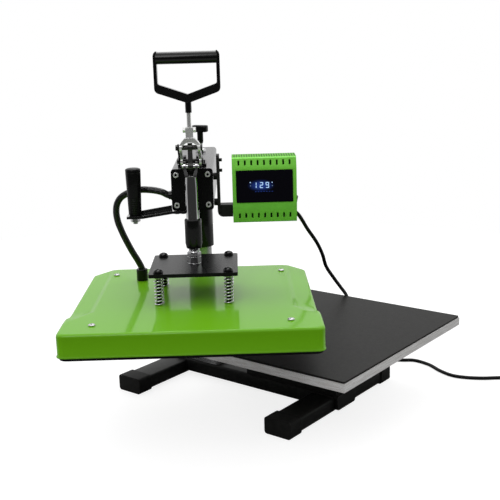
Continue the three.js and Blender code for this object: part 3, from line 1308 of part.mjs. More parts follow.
// Flat bar beside the head box that carries the controller on a short arm
function makeControllerBar(group) {
  const left = headBox.width / 2 + postBar.gap;
  const right = left + postBar.thickness;
  const middle = left + postBar.thickness / 2;
  const y = postBar.setBack - boxFront;
  const foot = arm.bottom + arm.corner;
  const side = filleted([
    [y - postBar.width / 2, foot, 0], [y + postBar.width / 2, foot, 0],
    [y + postBar.width / 2, postBar.top, postBar.corner], [y - postBar.width / 2, postBar.top, postBar.corner],
  ], 0);
  let bar = prismX(side, left, right);
  const boxSide = headBox.width / 2 + fit.seat;
  for (const z of [spacer.lowHeight, spacer.highHeight]) {
    bar = bar.add(barX(spacer.radius, boxSide, middle, y, z));
  }
  for (const z of [barScrew.lowHeight, barScrew.highHeight]) {
    bar = bar.add(barX(barScrew.radius, middle, right + barScrew.length, y, z, facets.small));
  }
  const end = housingLeft - fit.seat;
  const top = arm.bottom + arm.height;
  const elbow = filleted([
    [left, arm.bottom, arm.corner], [end, arm.bottom, 0], [end, top, 0], [left, top, 0],
  ], 0);
  bar = bar.add(prismY(elbow, y - arm.depth / 2, y + arm.depth / 2));
  place(group, 'controller_bracket', bar, paint.black);
}

// Power cord: free stretch, spare coil, plug
function coilPlaces() {
  const heading = degrees(coil.heading);
  const centre = new THREE.Vector3(coil.x, coil.y, cord.radius + fit.seat / 2);
  const total = coil.turns * 2 * Math.PI;
  const count = Math.round(coil.turns * coil.steps);
  const along = (angle) => new THREE.Vector3(-Math.sin(angle), Math.cos(angle), 0);
  const startAngle = heading - Math.PI / 2;
  const spot = (share) => {
    const angle = startAngle + total * share;
    const turnsIn = coil.turns * Math.min(share, 1 - share);
    const radius = coil.radius - coil.pitch * turnsIn;
    const halfway = coil.turns / 2;
    const climb = THREE.MathUtils.smoothstep(
      share * coil.turns, halfway - coil.crossing / 2, halfway + coil.crossing / 2);
    return new THREE.Vector3(
      centre.x + radius * Math.cos(angle), centre.y + radius * Math.sin(angle), centre.z + coil.rise * climb);
  };
  const places = [];
  for (let step = 0; step <= count; step += 1) {
    places.push(spot(step / count));
  }
  const lead = 2 * cord.radius;
  places.unshift(places[0].clone().addScaledVector(along(startAngle), -lead));
  const endAngle = startAngle + total;
  places.push(places[places.length - 1].clone().addScaledVector(along(endAngle), coil.tail));
  return { places, endAngle, end: places[places.length - 1], endWay: along(endAngle) };
}

function makeCord(group, exit) {
  const { places, endAngle, end, endWay } = coilPlaces();
  const gap = leastGap(places, cord.radius, coil.steps / 2);
  console.log(`cord coil: least gap between turns ${gap.toFixed(2)} mm`);
  place(group, 'cord_coil', woundTube(places, cord.radius, coil.sides), paint.rubber);

  const heading = degrees(coil.heading);
  const way = new THREE.Vector3(Math.cos(heading), Math.sin(heading), 0);
  const meet = places[0].clone().addScaledVector(way, -fit.seat);
  const before = meet.clone().addScaledVector(way, -cord.lead);
  const swing = -degrees(layout.restSwing);
  const exitPlace = new THREE.Vector3(exit[0], exit[1] - cord.entry + fit.seat, exit[2]);
  const exitAhead = new THREE.Vector3(exit[0], exit[1] + 2 * cord.radius, exit[2]);
  const up = new THREE.Vector3(0, 0, 1);
  const route = [
    exitPlace.applyAxisAngle(up, swing).toArray(), exitAhead.applyAxisAngle(up, swing).toArray(),
    ...cordRoute, before.toArray(), meet.toArray(),
  ];
  place(group, 'power_cord', routedTube(route, cord.radius, cord.sides, cord.steps), paint.rubber);

  const shell = prismX(
    roundedRectangle(plug.width, plug.height, plug.corner), 0, plug.length);
  const neckStart = -plug.neck;
  const root = plug.length - plug.corner;
  const tip = plug.length + plug.bladeLength;
  let body = shell.add(barX(plug.neckRadius, neckStart, plug.corner, 0, 0, facets.small));
  for (const side of [-1, 1]) {
    const y = (side * blade.gap) / 2;
    body = body.add(block(
      root, tip, y - blade.thickness / 2, y + blade.thickness / 2,
      blade.drop / 2 - blade.width / 2, blade.drop / 2 + blade.width / 2));
  }
  body = body.add(barX(blade.groundRadius, root, tip, 0, -blade.drop, facets.small));
  body = body.subtract(barX(
    cord.radius + fit.seat, neckStart - fit.overrun, neckStart + cord.entry, 0, 0, facets.small));
  const piece = place(group, 'power_plug', body, paint.plastic);
  const seat = end.clone().addScaledVector(endWay, fit.seat - cord.entry - neckStart);
  piece.position.copy(seat);
  piece.rotation.z = endAngle + Math.PI / 2;
}

// The assembly: fixed base, head turned about the post, cord beside them
const assembly = new THREE.Group();
const base = new THREE.Group();
const head = new THREE.Group();
const cordGroup = new THREE.Group();
assembly.add(base, head, cordGroup);
head.rotation.z = -degrees(layout.restSwing);

makeSpine(base);
makeFoot(base, 'front_foot', frontFootPlace);
makeFoot(base, 'rear_foot', rearFootPlace);
for (const [sideName, side] of [['left', -1], ['right', 1]]) {
  makeFootCap(base, `foot_cap_front_${sideName}`, frontFootPlace, side);
  makeFootCap(base, `foot_cap_rear_${sideName}`, rearFootPlace, side);
}
makeSpinePlug(base, 'spine_plug_front', -spine.aheadOfPost, -1);
makeSpinePlug(base, 'spine_plug_rear', spine.behindPost, 1);
makePost(base);
makePedestal(base);
makeLowerPlaten(base);

makeSleeve(head);
makeBush(head);
makeHeadBox(head);
makeRearPlug(head);
makeFrontPlate(head);
makePressureKnob(head, head);
makeToggleBracket(head);
makeFork(head);
makeLeverPins(head);
makeHandle(head, makeLeverRod(head));
makeLink(head);
makePlunger(head);
makeBarrel(head);
makeSpringPlate(head);
makeRamNuts(head);
makeGuideBolts(head);
makeSprings(head);
makeHeatPlaten(head);
makeBoard(head);
makeCover(head);
makeCollar(head);
makeSideGrip(head, head);
makeHose(head);
makeControllerBar(head);
makeHousing(head);
const cordExit = makeRearCover(head);
makeRocker(head);
makeCord(cordGroup, cordExit);

// The origin lies under the middle of the machine, its cord left aside
assembly.updateMatrixWorld(true);
const machine = new THREE.Box3().setFromObject(base, true).union(new THREE.Box3().setFromObject(head, true));
const middle = machine.getCenter(new THREE.Vector3());
assembly.position.set(-middle.x, -middle.y, -machine.min.z);

export default assembly;
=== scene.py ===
"""Looks of the swing-away heat press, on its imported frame. Lengths are metres, or millimetres where said."""

import math

import bpy
import numpy as np
from mathutils import Matrix, Vector


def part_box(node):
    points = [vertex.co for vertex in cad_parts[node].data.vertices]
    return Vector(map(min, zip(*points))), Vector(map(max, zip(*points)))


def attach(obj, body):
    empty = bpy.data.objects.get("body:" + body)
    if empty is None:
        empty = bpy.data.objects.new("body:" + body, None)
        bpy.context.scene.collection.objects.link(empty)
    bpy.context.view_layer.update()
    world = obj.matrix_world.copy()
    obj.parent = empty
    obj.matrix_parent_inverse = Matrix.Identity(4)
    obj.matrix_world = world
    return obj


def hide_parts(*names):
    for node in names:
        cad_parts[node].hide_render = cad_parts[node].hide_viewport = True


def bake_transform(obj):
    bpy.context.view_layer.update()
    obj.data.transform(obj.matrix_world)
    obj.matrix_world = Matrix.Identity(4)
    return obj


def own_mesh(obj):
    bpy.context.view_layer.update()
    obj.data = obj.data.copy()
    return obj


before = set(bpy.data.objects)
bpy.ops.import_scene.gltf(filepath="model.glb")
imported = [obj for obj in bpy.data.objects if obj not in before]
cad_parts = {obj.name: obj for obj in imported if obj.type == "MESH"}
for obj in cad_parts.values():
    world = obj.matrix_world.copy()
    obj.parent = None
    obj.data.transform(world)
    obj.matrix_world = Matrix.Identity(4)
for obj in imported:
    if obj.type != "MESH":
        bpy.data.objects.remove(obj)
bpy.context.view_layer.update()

MM = 0.001
REST_SWING = math.radians(51.2)
SWING_OUT = Matrix.Rotation(-REST_SWING, 3, "Z")
SWING_BACK = Matrix.Rotation(REST_SWING, 3, "Z")

# Colours, linear
GREEN = (0.16, 0.47, 0.006, 1)
HOUSING_GREEN = (0.23, 0.76, 0.075, 1)
# The housing's top: the housing paint darkened as painted shade against the lamps above
SHADED_GRILLE_GREEN = (0.15, 0.5, 0.05, 1)
# Painted shade in the openings of the grille's slots
SLOT_SHADE_GREEN = (0.04, 0.13, 0.015, 1)
BLACK = (0.0045, 0.0045, 0.0048, 1)
DARK = (0.017, 0.017, 0.016, 1)
SILICONE = (0.016, 0.0155, 0.0145, 1)
STEEL = (0.5, 0.5, 0.51, 1)
ZINC = (0.6, 0.6, 0.61, 1)
BRIGHT = (0.66, 0.66, 0.67, 1)
SATIN = (0.78, 0.78, 0.77, 1)
CAST = (0.92, 0.92, 0.91, 1)
BLACKENED = (0.06, 0.06, 0.058, 1)
ALUMINIUM = (0.95, 0.92, 0.885, 1)
BRASS = (0.45, 0.3, 0.09, 1)
BOARD = (0.7, 0.66, 0.56, 1)
PANEL = (0.005, 0.0045, 0.008, 1)
UNLIT = (0.002, 0.002, 0.003, 1)
GLOW = (0.45, 0.68, 1.0, 1)
HALO = (0.03, 0.09, 0.5, 1)
WHITE = (1, 1, 1, 1)

# The camera, fitted to the photograph: place in millimetres from the post's axis, aim, lens
CAMERA_PLACE = (-1282.5, -1131.2, 650.8)
CAMERA_HEADING = math.radians(-51.8)
CAMERA_PITCH = math.radians(13.25)
CAMERA_ROLL = math.radians(-1.55)
CAMERA_LENS = 64.44
CAMERA_REACH = 20
SENSOR = 36.0

# Power cord in millimetres from the post's axis: where it leaves the strain relief, its free route, its coil,
# which has two layers, narrows by its pitch in each turn and crosses over within a part of a turn, and the
# heights between which the cord bends from the head to the base
CORD_RADIUS = 3.5
CORD_SIDES = 12
CORD_POINTS = 220
CORD_START = [(-34.8, -215.3, 366), (-24.9, -207.3, 366)]
CORD_ROUTE = [
    (-16.5, -207, 366), (-1.6, -198.5, 363), (14.4, -196, 356), (26.7, -200.4, 347), (37.7, -206.3, 337),
    (56.6, -214.2, 306.5), (78.4, -219.2, 278.2), (98.4, -218.7, 251), (117.6, -214.3, 222.5),
    (146.5, -213.5, 192), (179, -208.5, 165), (209, -203, 140), (226.5, -203.5, 108), (236, -209.5, 80),
    (241, -218.5, 53), (242.5, -230, 29), (244.5, -246, 11.5), (249, -265, 4.4), (256.7, -284, 3.7),
    (265.3, -302.5, 3.7), (277, -322, 3.7), (272, -357.3, 3.7), (252.5, -393, 3.7), (243.2, -422.5, 3.7),
    (247.4, -447.7, 3.7), (261.5, -476, 3.7), (277.6, -496.7, 3.7), (296, -520.5, 3.7),
]
COIL = {
    "radius": 43, "pitch": 7.6, "rise": 7.6, "turns": 3.25, "crossing": 0.5, "steps": 36, "heading": -52,
    "x": 368.9, "y": -543.2, "z": 3.65, "lead": 7, "run_in": 14, "tail": 22, "tail_steps": 3,
}

# Hose in millimetres, in the head's own frame before its swing
HOSE_RADIUS = 5.75
HOSE_SIDES = 24
HOSE_POINTS = 120
HOSE_ROUTE = [
    (-37.6, -196, 395), (-42.3, -196, 395), (-53, -196, 400.5), (-64.5, -195, 403.5), (-75.9, -194, 405),
    (-88.5, -192, 405.3), (-102, -190, 403.2), (-115.5, -188, 398.2), (-126.3, -186, 391),
    (-133.2, -184, 380), (-135.8, -181, 366), (-134.8, -177, 350), (-130.4, -172, 332),
    (-123.2, -167, 311.5), (-114, -161, 289), (-105.2, -156, 270.5), (-100, -153, 256.3), (-100, -153, 247.3),
]

# Springs in millimetres
SPRING = {"outer": 8, "wire": 2.4, "curls": 8, "steps": 32, "sides": 10, "count": 4}

# Places in millimetres in the head's own frame: bolts of the front plate, whose heads have a finish of their
# own and whose hex sockets hold painted shade; the housing's middle, towards which its inside faces turn and
# hold painted shade; the housing's top, its paint darkened as painted shade, with painted shade in its slots;
# the plunger's upward faces above the yoke's foot, drawn in darker steel; with the least rise of their normals
FRONT_BOLT = {"x": 26.5, "z": 409, "rise": 25.5, "foot": -229.4, "face": -233.8, "socket": 2.6}
HOUSING_MIDDLE = Vector((120.5, -211, 405))
GRILLE = {"foot": 455, "level": 0.9}
YOKE = {"foot": 400, "level": 0.5}

# Cover in millimetres, in the head's own frame: outline, heights of its front and side borders, raised field,
# rolled hem as inset and height over the bottom, folded rim of the platen under it, screws
COVER = {
    "half": 200, "front": -454, "rear": -54, "step_y": -366, "step": 3.5, "chamfer_x": 32, "chamfer_y": 40,
    "corner": 12, "bottom": 197.6, "high": 235, "low": 231, "edge": 5, "wall": 1.8, "lip": 1,
    "drop": (-395, -325), "sides": 640, "edge_steps": 6,
}
FIELD = {
    "wide": 193.5, "narrow": 168, "front": -447.5, "rear": -62, "waist": -356, "edge": 7, "shoulder": 18,
    "run": 27, "corner": 5, "bend": 9, "rear_corner": 6, "corner_steps": 5,
    "slope": 10, "ease": 1, "steps": 10,
}
HEM = ((1.2, 0), (0.2, 0), (-0.9, 0.6), (-1.3, 1.5), (-0.9, 2.6), (0, 3.8))
RIM = {"inner": 8.6, "outer": 2.3, "low": 193.1, "high": 199, "bevel": 0.6, "sides": 480}
COVER_SCREWS = [(-151, -115.5), (151, -115.5), (-151, -412.8), (151, -412.8)]

# Pan heads of the cover screws in millimetres, and their cross recess in shares of radius and height, with the
# painted shade in the recess
SCREW = {
    "radius": 5.3, "height": 3.4, "skirt": 0.4, "rings": 26, "sides": 64, "turn": 0.5, "turn_step": 0.7,
    "spread": 0.82, "bend": 2.4,
}
RECESS = {
    "arm": 0.62, "half_width": 0.16, "soft": 0.06, "deep": 0.55, "shade_height": 0.62, "shade_reach": 0.66,
}

# Display in millimetres: its middle in the head's own frame, and from that middle its seven-stroke digits,
# its lamps, its row of small marks and the shine round the digits
DISPLAY = {"x": 120.5, "z": 412.5, "front": -238.2, "proud": 0.12}
DIGIT = {"width": 5.6, "height": 9.8, "stroke": 1.2, "middle": 2.2, "gap": 0.25}
DIGIT_PLACES = (("1", -16.2), ("2", -5.2), ("9", 4.6))
STROKES = {"1": "bc", "2": "abged", "9": "abcdfg"}
LAMP = {"radius": 0.9, "sides": 12}
LAMP_PLACES = ((-23.7, 7.0, "glow"), (-23.5, 1.4, "dim"), (12.6, 6.4, "glow"), (12.8, 0.9, "dim"))
MARK = {"count": 7, "first": -15, "step": 4.6, "reach": 1.4, "low": -9.1, "high": -8.1}
SHINE = {"x": -6, "z": 1.5, "reach": (24, 24, 11), "core": 0.2, "bright": 0.38}

# Lit materials of the display: colour and strength
LIT = {"glow": (GLOW, 1.1), "dim": (GLOW, 0.25), "faint": (HALO, 0.4)}

# In metres: relief of ribs on handle and grip, slots of the grille as painted shade, relief of strands round
# the hose
HANDLE_RIBS = {"axis": "X", "period": 0.0024, "depth": 0.0005, "low": 0.553, "high": 0.585}
GRIP_RIBS = {"axis": "Z", "period": 0.003, "depth": 0.0003, "low": 0.370, "high": 0.398}
GRILLE_SLOT_SHADE = {"period": 0.0042, "share": 0.42, "soft": 0.15}
HOSE_STRANDS = {"around": 7, "along": 0.009, "depth": 0.0004}

# Shading of the frame's nodes: corners closer than this are one, edges steeper than this stay sharp
MERGE_DISTANCE = 0.002 * MM
SHARP_ANGLE = math.radians(32)

# Room: the floor and its shine for the camera, the sky by height behind the machine and in front of it, and
# lamps with place and aim in millimetres from the post's axis, size in metres and power in watts
FLOOR_GREY = 0.36
FLOOR_SHINE = 0.82
FLOOR_RADIUS = 1.5
FLOOR_SIDES = 96
SKY_TURN = (-0.35, 0.35)
SKY_BEHIND = ((0.0, 0.85), (1.0, 1.0), (0.3, 0.95))
SKY_FRONT = ((0.0, 0.04), (1.0, 1.0), (0.3, 0.1), (0.6, 0.7))
ROOM_LAMPS = (
    ("key", (-1300, -500, 1400), (0, -100, 250), 0.8, 4.8),
    ("top", (500, 200, 1800), (0, 0, 200), 1.0, 7.5),
)


def post_axis():
    low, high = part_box("post")
    return Vector(((low.x + high.x) / 2, (low.y + high.y) / 2, 0))


AXIS = post_axis()


def from_post(point):
    """A place in millimetres from the post's axis, in the row frame."""
    return AXIS + Vector(point) * MM


def from_head(point):
    """A place in millimetres in the head's own frame, as the head stands at rest."""
    return AXIS + SWING_OUT @ Vector(point) * MM


def to_head(place):
    """The head's own millimetres of a place in the row frame."""
    return SWING_BACK @ (place - AXIS) / MM


# Camera
def make_camera():
    data = bpy.data.cameras.new("camera")
    data.lens = CAMERA_LENS
    data.sensor_width = SENSOR
    data.clip_end = CAMERA_REACH
    camera = bpy.data.objects.new("camera", data)
    bpy.context.scene.collection.objects.link(camera)
    turn = Matrix.Rotation(CAMERA_HEADING, 4, "Z") @ Matrix.Rotation(math.pi / 2 - CAMERA_PITCH, 4, "X")
    turn = turn @ Matrix.Rotation(CAMERA_ROLL, 4, "Z")
    camera.matrix_world = Matrix.Translation(from_post(CAMERA_PLACE)) @ turn
    bpy.context.scene.camera = camera


# Meshes
def mesh_object(name, vertices, faces, material, smooth=True):
    mesh = bpy.data.meshes.new(name)
    mesh.from_pydata([tuple(v) for v in vertices], [], faces)
    mesh.update()
    mesh.materials.append(material)
    if smooth:
        mesh.shade_smooth()
    obj = bpy.data.objects.new(name, mesh)
    bpy.context.scene.collection.objects.link(obj)
    return obj


def ring_faces(rings, count):
    """Faces between each ring of count points and the next one, with a flat face at both ends."""
    faces = []
    for ring in range(rings - 1):
        for side in range(count):
            a, b = ring * count + side, ring * count + (side + 1) % count
            faces.append((a, b, b + count, a + count))
    last = (rings - 1) * count
    faces.append(tuple(range(count - 1, -1, -1)))
    faces.append(tuple(range(last, last + count)))
    return faces


def tube(name, path, radius, sides, material):
    """A round tube along a list of points, with flat ends. Its UV runs round it and along it in metres."""
    points = np.array([tuple(p) for p in path])
    ways = np.gradient(points, axis=0)
    ways /= np.linalg.norm(ways, axis=1)[:, None]
    normal = np.array([1.0, 0, 0]) if abs(ways[0][2]) > 0.7 else np.array([0, 0, 1.0])
    vertices = []
    for point, way in zip(points, ways):
        normal = normal - way * normal.dot(way)
        normal /= np.linalg.norm(normal)
        across = np.cross(way, normal)
        for side in range(sides):
            angle = 2 * math.pi * side / sides
            vertices.append(point + radius * (math.cos(angle) * normal + math.sin(angle) * across))
    runs = np.concatenate([[0], np.cumsum(np.linalg.norm(np.diff(points, axis=0), axis=1))])
    places = []
    for low, high in zip(runs, runs[1:]):
        for side in range(sides):
            left, right = side / sides, (side + 1) / sides
            places += [(left, low), (right, low), (right, high), (left, high)]
    places += [(0, 0)] * (2 * sides)
    obj = mesh_object(name, vertices, ring_faces(len(points), sides), material)
    layer = obj.data.uv_layers.new(name="along")
    for index, place in enumerate(places):
        layer.data[index].uv = place
    return obj


def spline(route, count, steps=24):
    """Even points along a centripetal Catmull-Rom curve through a route, with steps between its points."""
    places = [np.array(p, float) for p in route]
    ends = [2 * places[0] - places[1], *places, 2 * places[-1] - places[-2]]
    fine = []
    for p0, p1, p2, p3 in zip(ends, ends[1:], ends[2:], ends[3:]):
        d0, d1, d2 = (np.linalg.norm(b - a) ** 0.5 for a, b in ((p0, p1), (p1, p2), (p2, p3)))
        t1 = ((p1 - p0) / d0 - (p2 - p0) / (d0 + d1) + (p2 - p1) / d1) * d1
        t2 = ((p2 - p1) / d1 - (p3 - p1) / (d1 + d2) + (p3 - p2) / d2) * d1
        cubic = 2 * p1 - 2 * p2 + t1 + t2
        square = -3 * p1 + 3 * p2 - 2 * t1 - t2
        for step in range(steps):
            t = step / steps
            fine.append(cubic * t**3 + square * t**2 + t1 * t + p1)
    fine.append(places[-1])
    fine = np.array(fine)
    along = np.concatenate([[0], np.cumsum(np.linalg.norm(np.diff(fine, axis=0), axis=1))])
    even = np.linspace(0, along[-1], count)
    return [Vector([np.interp(s, along, fine[:, k]) for k in range(3)]) for s in even]


def smoothstep(value, low, high):
    share = min(max((value - low) / (high - low), 0), 1)
    return share * share * (3 - 2 * share)


def rounded(corners, steps=8):
    """A closed outline with filleted corners, each given as x, y and radius."""
    points = []
    for index, (x, y, radius) in enumerate(corners):
        here = Vector((x, y))
        back = (Vector(corners[index - 1][:2]) - here).normalized()
        ahead = (Vector(corners[(index + 1) % len(corners)][:2]) - here).normalized()
        half = back.angle(ahead) / 2
        middle = here + (back + ahead).normalized() * (radius / math.sin(half))
        first = here + back * (radius / math.tan(half)) - middle
        sweep = first.angle_signed(here + ahead * (radius / math.tan(half)) - middle)
        for step in range(steps + 1):
            points.append(middle + Matrix.Rotation(-sweep * step / steps, 2) @ first)
    return points


def cast(outline, centre, angles):
    """Where rays from a centre meet an outline round it, one point for each angle."""
    points = np.array([tuple(p) for p in outline]) - centre
    bearing = np.unwrap(np.arctan2(points[:, 1], points[:, 0]))
    if bearing[-1] < bearing[0]:
        points, bearing = points[::-1], bearing[::-1]
    ring = np.vstack([points, points[:1]])
    found = []
    for angle in angles:
        way = np.array([math.cos(angle), math.sin(angle)])
        turned = ring @ np.array([[way[0], -way[1]], [way[1], way[0]]])
        sides = (turned[:-1, 1] <= 0) & (turned[1:, 1] > 0)
        for a, b in zip(turned[:-1][sides], turned[1:][sides]):
            reach = a[0] + (b[0] - a[0]) * (-a[1] / (b[1] - a[1]))
            if reach > 0:
                found.append(centre + way * reach)
                break
    return found


# Materials
def new_material(name, color, roughness, metallic=0.0, coat=0.0, gloss=0.5, clear=0.05):
    """A plain material. Gloss is its specular level, coat and clear are a lacquer's weight and roughness."""
    material = bpy.data.materials.new(name)
    material.use_nodes = True
    shader = material.node_tree.nodes["Principled BSDF"]
    shader.inputs["Base Color"].default_value = color
    shader.inputs["Roughness"].default_value = roughness
    shader.inputs["Metallic"].default_value = metallic
    shader.inputs["Specular IOR Level"].default_value = gloss
    shader.inputs["Coat Weight"].default_value = coat
    shader.inputs["Coat Roughness"].default_value = clear
    return material


def find_node(material, kind):
    return next(node for node in material.node_tree.nodes if node.type == kind)


def new_math(tree, operation, value=None):
    """A math node whose second number may be given."""
    node = tree.nodes.new("ShaderNodeMath")
    node.operation = operation
    if value is not None:
        node.inputs[1].default_value = value
    return node


def head_places(material):
    """A spot's place along the head's own X, Y and Z, measured from the row frame's origin."""
    tree = material.node_tree
    mapping = tree.nodes.new("ShaderNodeMapping")
    mapping.inputs["Rotation"].default_value = (0, 0, REST_SWING)
    split = tree.nodes.new("ShaderNodeSeparateXYZ")
    tree.links.new(find_node(material, "TEX_COORD").outputs["Object"], mapping.inputs["Vector"])
    tree.links.new(mapping.outputs["Vector"], split.inputs["Vector"])
    return split


def mix_colors(tree, factor, low, high):
    """The colour between two others, each a socket or a plain colour."""
    mix = tree.nodes.new("ShaderNodeMix")
    mix.data_type = "RGBA"
    tree.links.new(factor, mix.inputs["Factor"])
    sockets = [socket for socket in mix.inputs if socket.type == "RGBA"]
    for socket, value in zip(sockets, (low, high)):
        if isinstance(value, tuple):
            socket.default_value = value
        else:
            tree.links.new(value, socket)
    return next(socket for socket in mix.outputs if socket.type == "RGBA")


def add_bump(material, height, strength, depth):
    """Lays a further bump over the material's first one."""
    tree = material.node_tree
    first = find_node(material, "BUMP")
    second = tree.nodes.new("ShaderNodeBump")
    second.inputs["Strength"].default_value = strength
    second.inputs["Distance"].default_value = depth
    tree.links.new(height, second.inputs["Height"])
    tree.links.new(first.outputs["Normal"], second.inputs["Normal"])
    tree.links.new(second.outputs["Normal"], tree.nodes["Principled BSDF"].inputs["Normal"])


def add_surface(material, scale, depth, edge=0.0005, stretch=(1, 1, 1), wear=0.0, tint=0.0):
    """Gives a material a fine uneven surface, rounded edges, and slightly uneven gloss and colour."""
    tree = material.node_tree
    shader = tree.nodes["Principled BSDF"]
    place = tree.nodes.new("ShaderNodeTexCoord")
    mapping = tree.nodes.new("ShaderNodeMapping")
    mapping.inputs["Scale"].default_value = stretch
    noise = tree.nodes.new("ShaderNodeTexNoise")
    noise.inputs["Scale"].default_value = scale
    noise.inputs["Detail"].default_value = 4
    edges = tree.nodes.new("ShaderNodeBevel")
    edges.samples = 4
    edges.inputs["Radius"].default_value = edge
    bump = tree.nodes.new("ShaderNodeBump")
    bump.inputs["Strength"].default_value = 0.6
    bump.inputs["Distance"].default_value = depth
    tree.links.new(place.outputs["Object"], mapping.inputs["Vector"])
    tree.links.new(mapping.outputs["Vector"], noise.inputs["Vector"])
    tree.links.new(noise.outputs["Fac"], bump.inputs["Height"])
    tree.links.new(edges.outputs["Normal"], bump.inputs["Normal"])
    tree.links.new(bump.outputs["Normal"], shader.inputs["Normal"])
    if wear:
        add_wear(material, noise, wear)
    if tint:
        add_tint(material, mapping, scale / 12, tint)
    return material


def add_wear(material, noise, wear):
    """Lets the roughness swing by wear about its own value."""
    tree = material.node_tree
    shader = tree.nodes["Principled BSDF"]
    base = shader.inputs["Roughness"].default_value
    gloss = tree.nodes.new("ShaderNodeMapRange")
    gloss.inputs["From Min"].default_value = 0.3
    gloss.inputs["From Max"].default_value = 0.7
    gloss.inputs["To Min"].default_value = base - wear
    gloss.inputs["To Max"].default_value = base + wear
    tree.links.new(noise.outputs["Fac"], gloss.inputs["Value"])
    tree.links.new(gloss.outputs["Result"], shader.inputs["Roughness"])


def add_tint(material, mapping, scale, tint):
    """Lets the colour swing by the share tint about its own value, in broad clouds."""
    tree = material.node_tree
    shader = tree.nodes["Principled BSDF"]
    color = shader.inputs["Base Color"].default_value[:3]
    cloud = tree.nodes.new("ShaderNodeTexNoise")
    cloud.inputs["Scale"].default_value = scale
    cloud.inputs["Detail"].default_value = 3
    ramp = tree.nodes.new("ShaderNodeValToRGB")
    dark, light = ramp.color_ramp.elements
    dark.position = 0.3
    light.position = 0.7
    dark.color = (*[c * (1 - tint) for c in color], 1)
    light.color = (*[min(c * (1 + tint), 1) for c in color], 1)
    tree.links.new(mapping.outputs["Vector"], cloud.inputs["Vector"])
    tree.links.new(cloud.outputs["Fac"], ramp.inputs["Fac"])
    tree.links.new(ramp.outputs["Color"], shader.inputs["Base Color"])


def add_ribs(material, axis, period, depth, low, high):
    """Fine straight ribs across the head's X or Z, between two heights in metres."""
    tree = material.node_tree
    split = head_places(material)
    wave = new_math(tree, "MULTIPLY", 2 * math.pi / period)
    sine = new_math(tree, "SINE")
    mask = new_math(tree, "MULTIPLY")
    ribs = new_math(tree, "MULTIPLY")
    for index, (start, end) in enumerate(((low, low + period), (high, high - period))):
        fade = tree.nodes.new("ShaderNodeMapRange")
        fade.interpolation_type = "SMOOTHSTEP"
        fade.inputs["From Min"].default_value = start
        fade.inputs["From Max"].default_value = end
        tree.links.new(split.outputs["Z"], fade.inputs["Value"])
        tree.links.new(fade.outputs["Result"], mask.inputs[index])
    tree.links.new(split.outputs[axis], wave.inputs[0])
    tree.links.new(wave.outputs["Value"], sine.inputs[0])
    tree.links.new(sine.outputs["Value"], ribs.inputs[0])
    tree.links.new(mask.outputs["Value"], ribs.inputs[1])
    add_bump(material, ribs.outputs["Value"], 1.0, depth)


def add_slot_shade(material, dark, period, share, soft):
    """Painted shade of slots: dark bands with soft edges from front to back, each a share of its step across
    the head's X.
    """
    tree = material.node_tree
    shader = tree.nodes["Principled BSDF"]
    split = head_places(material)
    wave = new_math(tree, "MULTIPLY", 2 * math.pi / period)
    sine = new_math(tree, "SINE")
    level = tree.nodes.new("ShaderNodeMapRange")
    level.inputs["From Min"].default_value = math.cos(math.pi * share) - soft
    level.inputs["From Max"].default_value = math.cos(math.pi * share) + soft
    paint = shader.inputs["Base Color"].links[0].from_socket
    tree.links.new(split.outputs["X"], wave.inputs[0])
    tree.links.new(wave.outputs["Value"], sine.inputs[0])
    tree.links.new(sine.outputs["Value"], level.inputs["Value"])
    tree.links.new(mix_colors(tree, level.outputs["Result"], paint, dark), shader.inputs["Base Color"])


def add_braid(material, around, along, depth):
    """Crossed strands wound round a tube, laid out in its UV."""
    tree = material.node_tree
    split = tree.nodes.new("ShaderNodeSeparateXYZ")
    tree.links.new(find_node(material, "TEX_COORD").outputs["UV"], split.inputs["Vector"])
    cross = new_math(tree, "MAXIMUM")
    for index, way in enumerate((1, -1)):
        turns = new_math(tree, "MULTIPLY", 2 * math.pi * around * way)
        climb = new_math(tree, "MULTIPLY_ADD", 2 * math.pi / along)
        sine = new_math(tree, "SINE")
        tree.links.new(split.outputs["X"], turns.inputs[0])
        tree.links.new(split.outputs["Y"], climb.inputs[0])
        tree.links.new(turns.outputs["Value"], climb.inputs[2])
        tree.links.new(climb.outputs["Value"], sine.inputs[0])
        tree.links.new(sine.outputs["Value"], cross.inputs[index])
    add_bump(material, cross.outputs["Value"], 0.8, depth)


def add_halo(material):
    """A soft blue shine of the digits behind the panel, fading away from them."""
    tree = material.node_tree
    shader = tree.nodes["Principled BSDF"]
    shader.inputs["Emission Color"].default_value = HALO
    middle = from_head((DISPLAY["x"] + SHINE["x"], DISPLAY["front"], DISPLAY["z"] + SHINE["z"]))
    turn = tree.nodes.new("ShaderNodeMapping")
    turn.inputs["Rotation"].default_value = (0, 0, REST_SWING)
    turn.inputs["Location"].default_value = -(SWING_BACK @ middle)
    stretch = tree.nodes.new("ShaderNodeVectorMath")
    stretch.operation = "MULTIPLY"
    stretch.inputs[1].default_value = [1 / (reach * MM) for reach in SHINE["reach"]]
    length = tree.nodes.new("ShaderNodeVectorMath")
    length.operation = "LENGTH"
    fade = tree.nodes.new("ShaderNodeMapRange")
    fade.interpolation_type = "SMOOTHSTEP"
    fade.inputs["From Min"].default_value = SHINE["core"]
    fade.inputs["From Max"].default_value = 1.0
    fade.inputs["To Min"].default_value = SHINE["bright"]
    fade.inputs["To Max"].default_value = 0
    tree.links.new(find_node(material, "TEX_COORD").outputs["Object"], turn.inputs["Vector"])
    tree.links.new(turn.outputs["Vector"], stretch.inputs[0])
    tree.links.new(stretch.outputs["Vector"], length.inputs[0])
    tree.links.new(length.outputs["Value"], fade.inputs["Value"])
    tree.links.new(fade.outputs["Result"], shader.inputs["Emission Strength"])


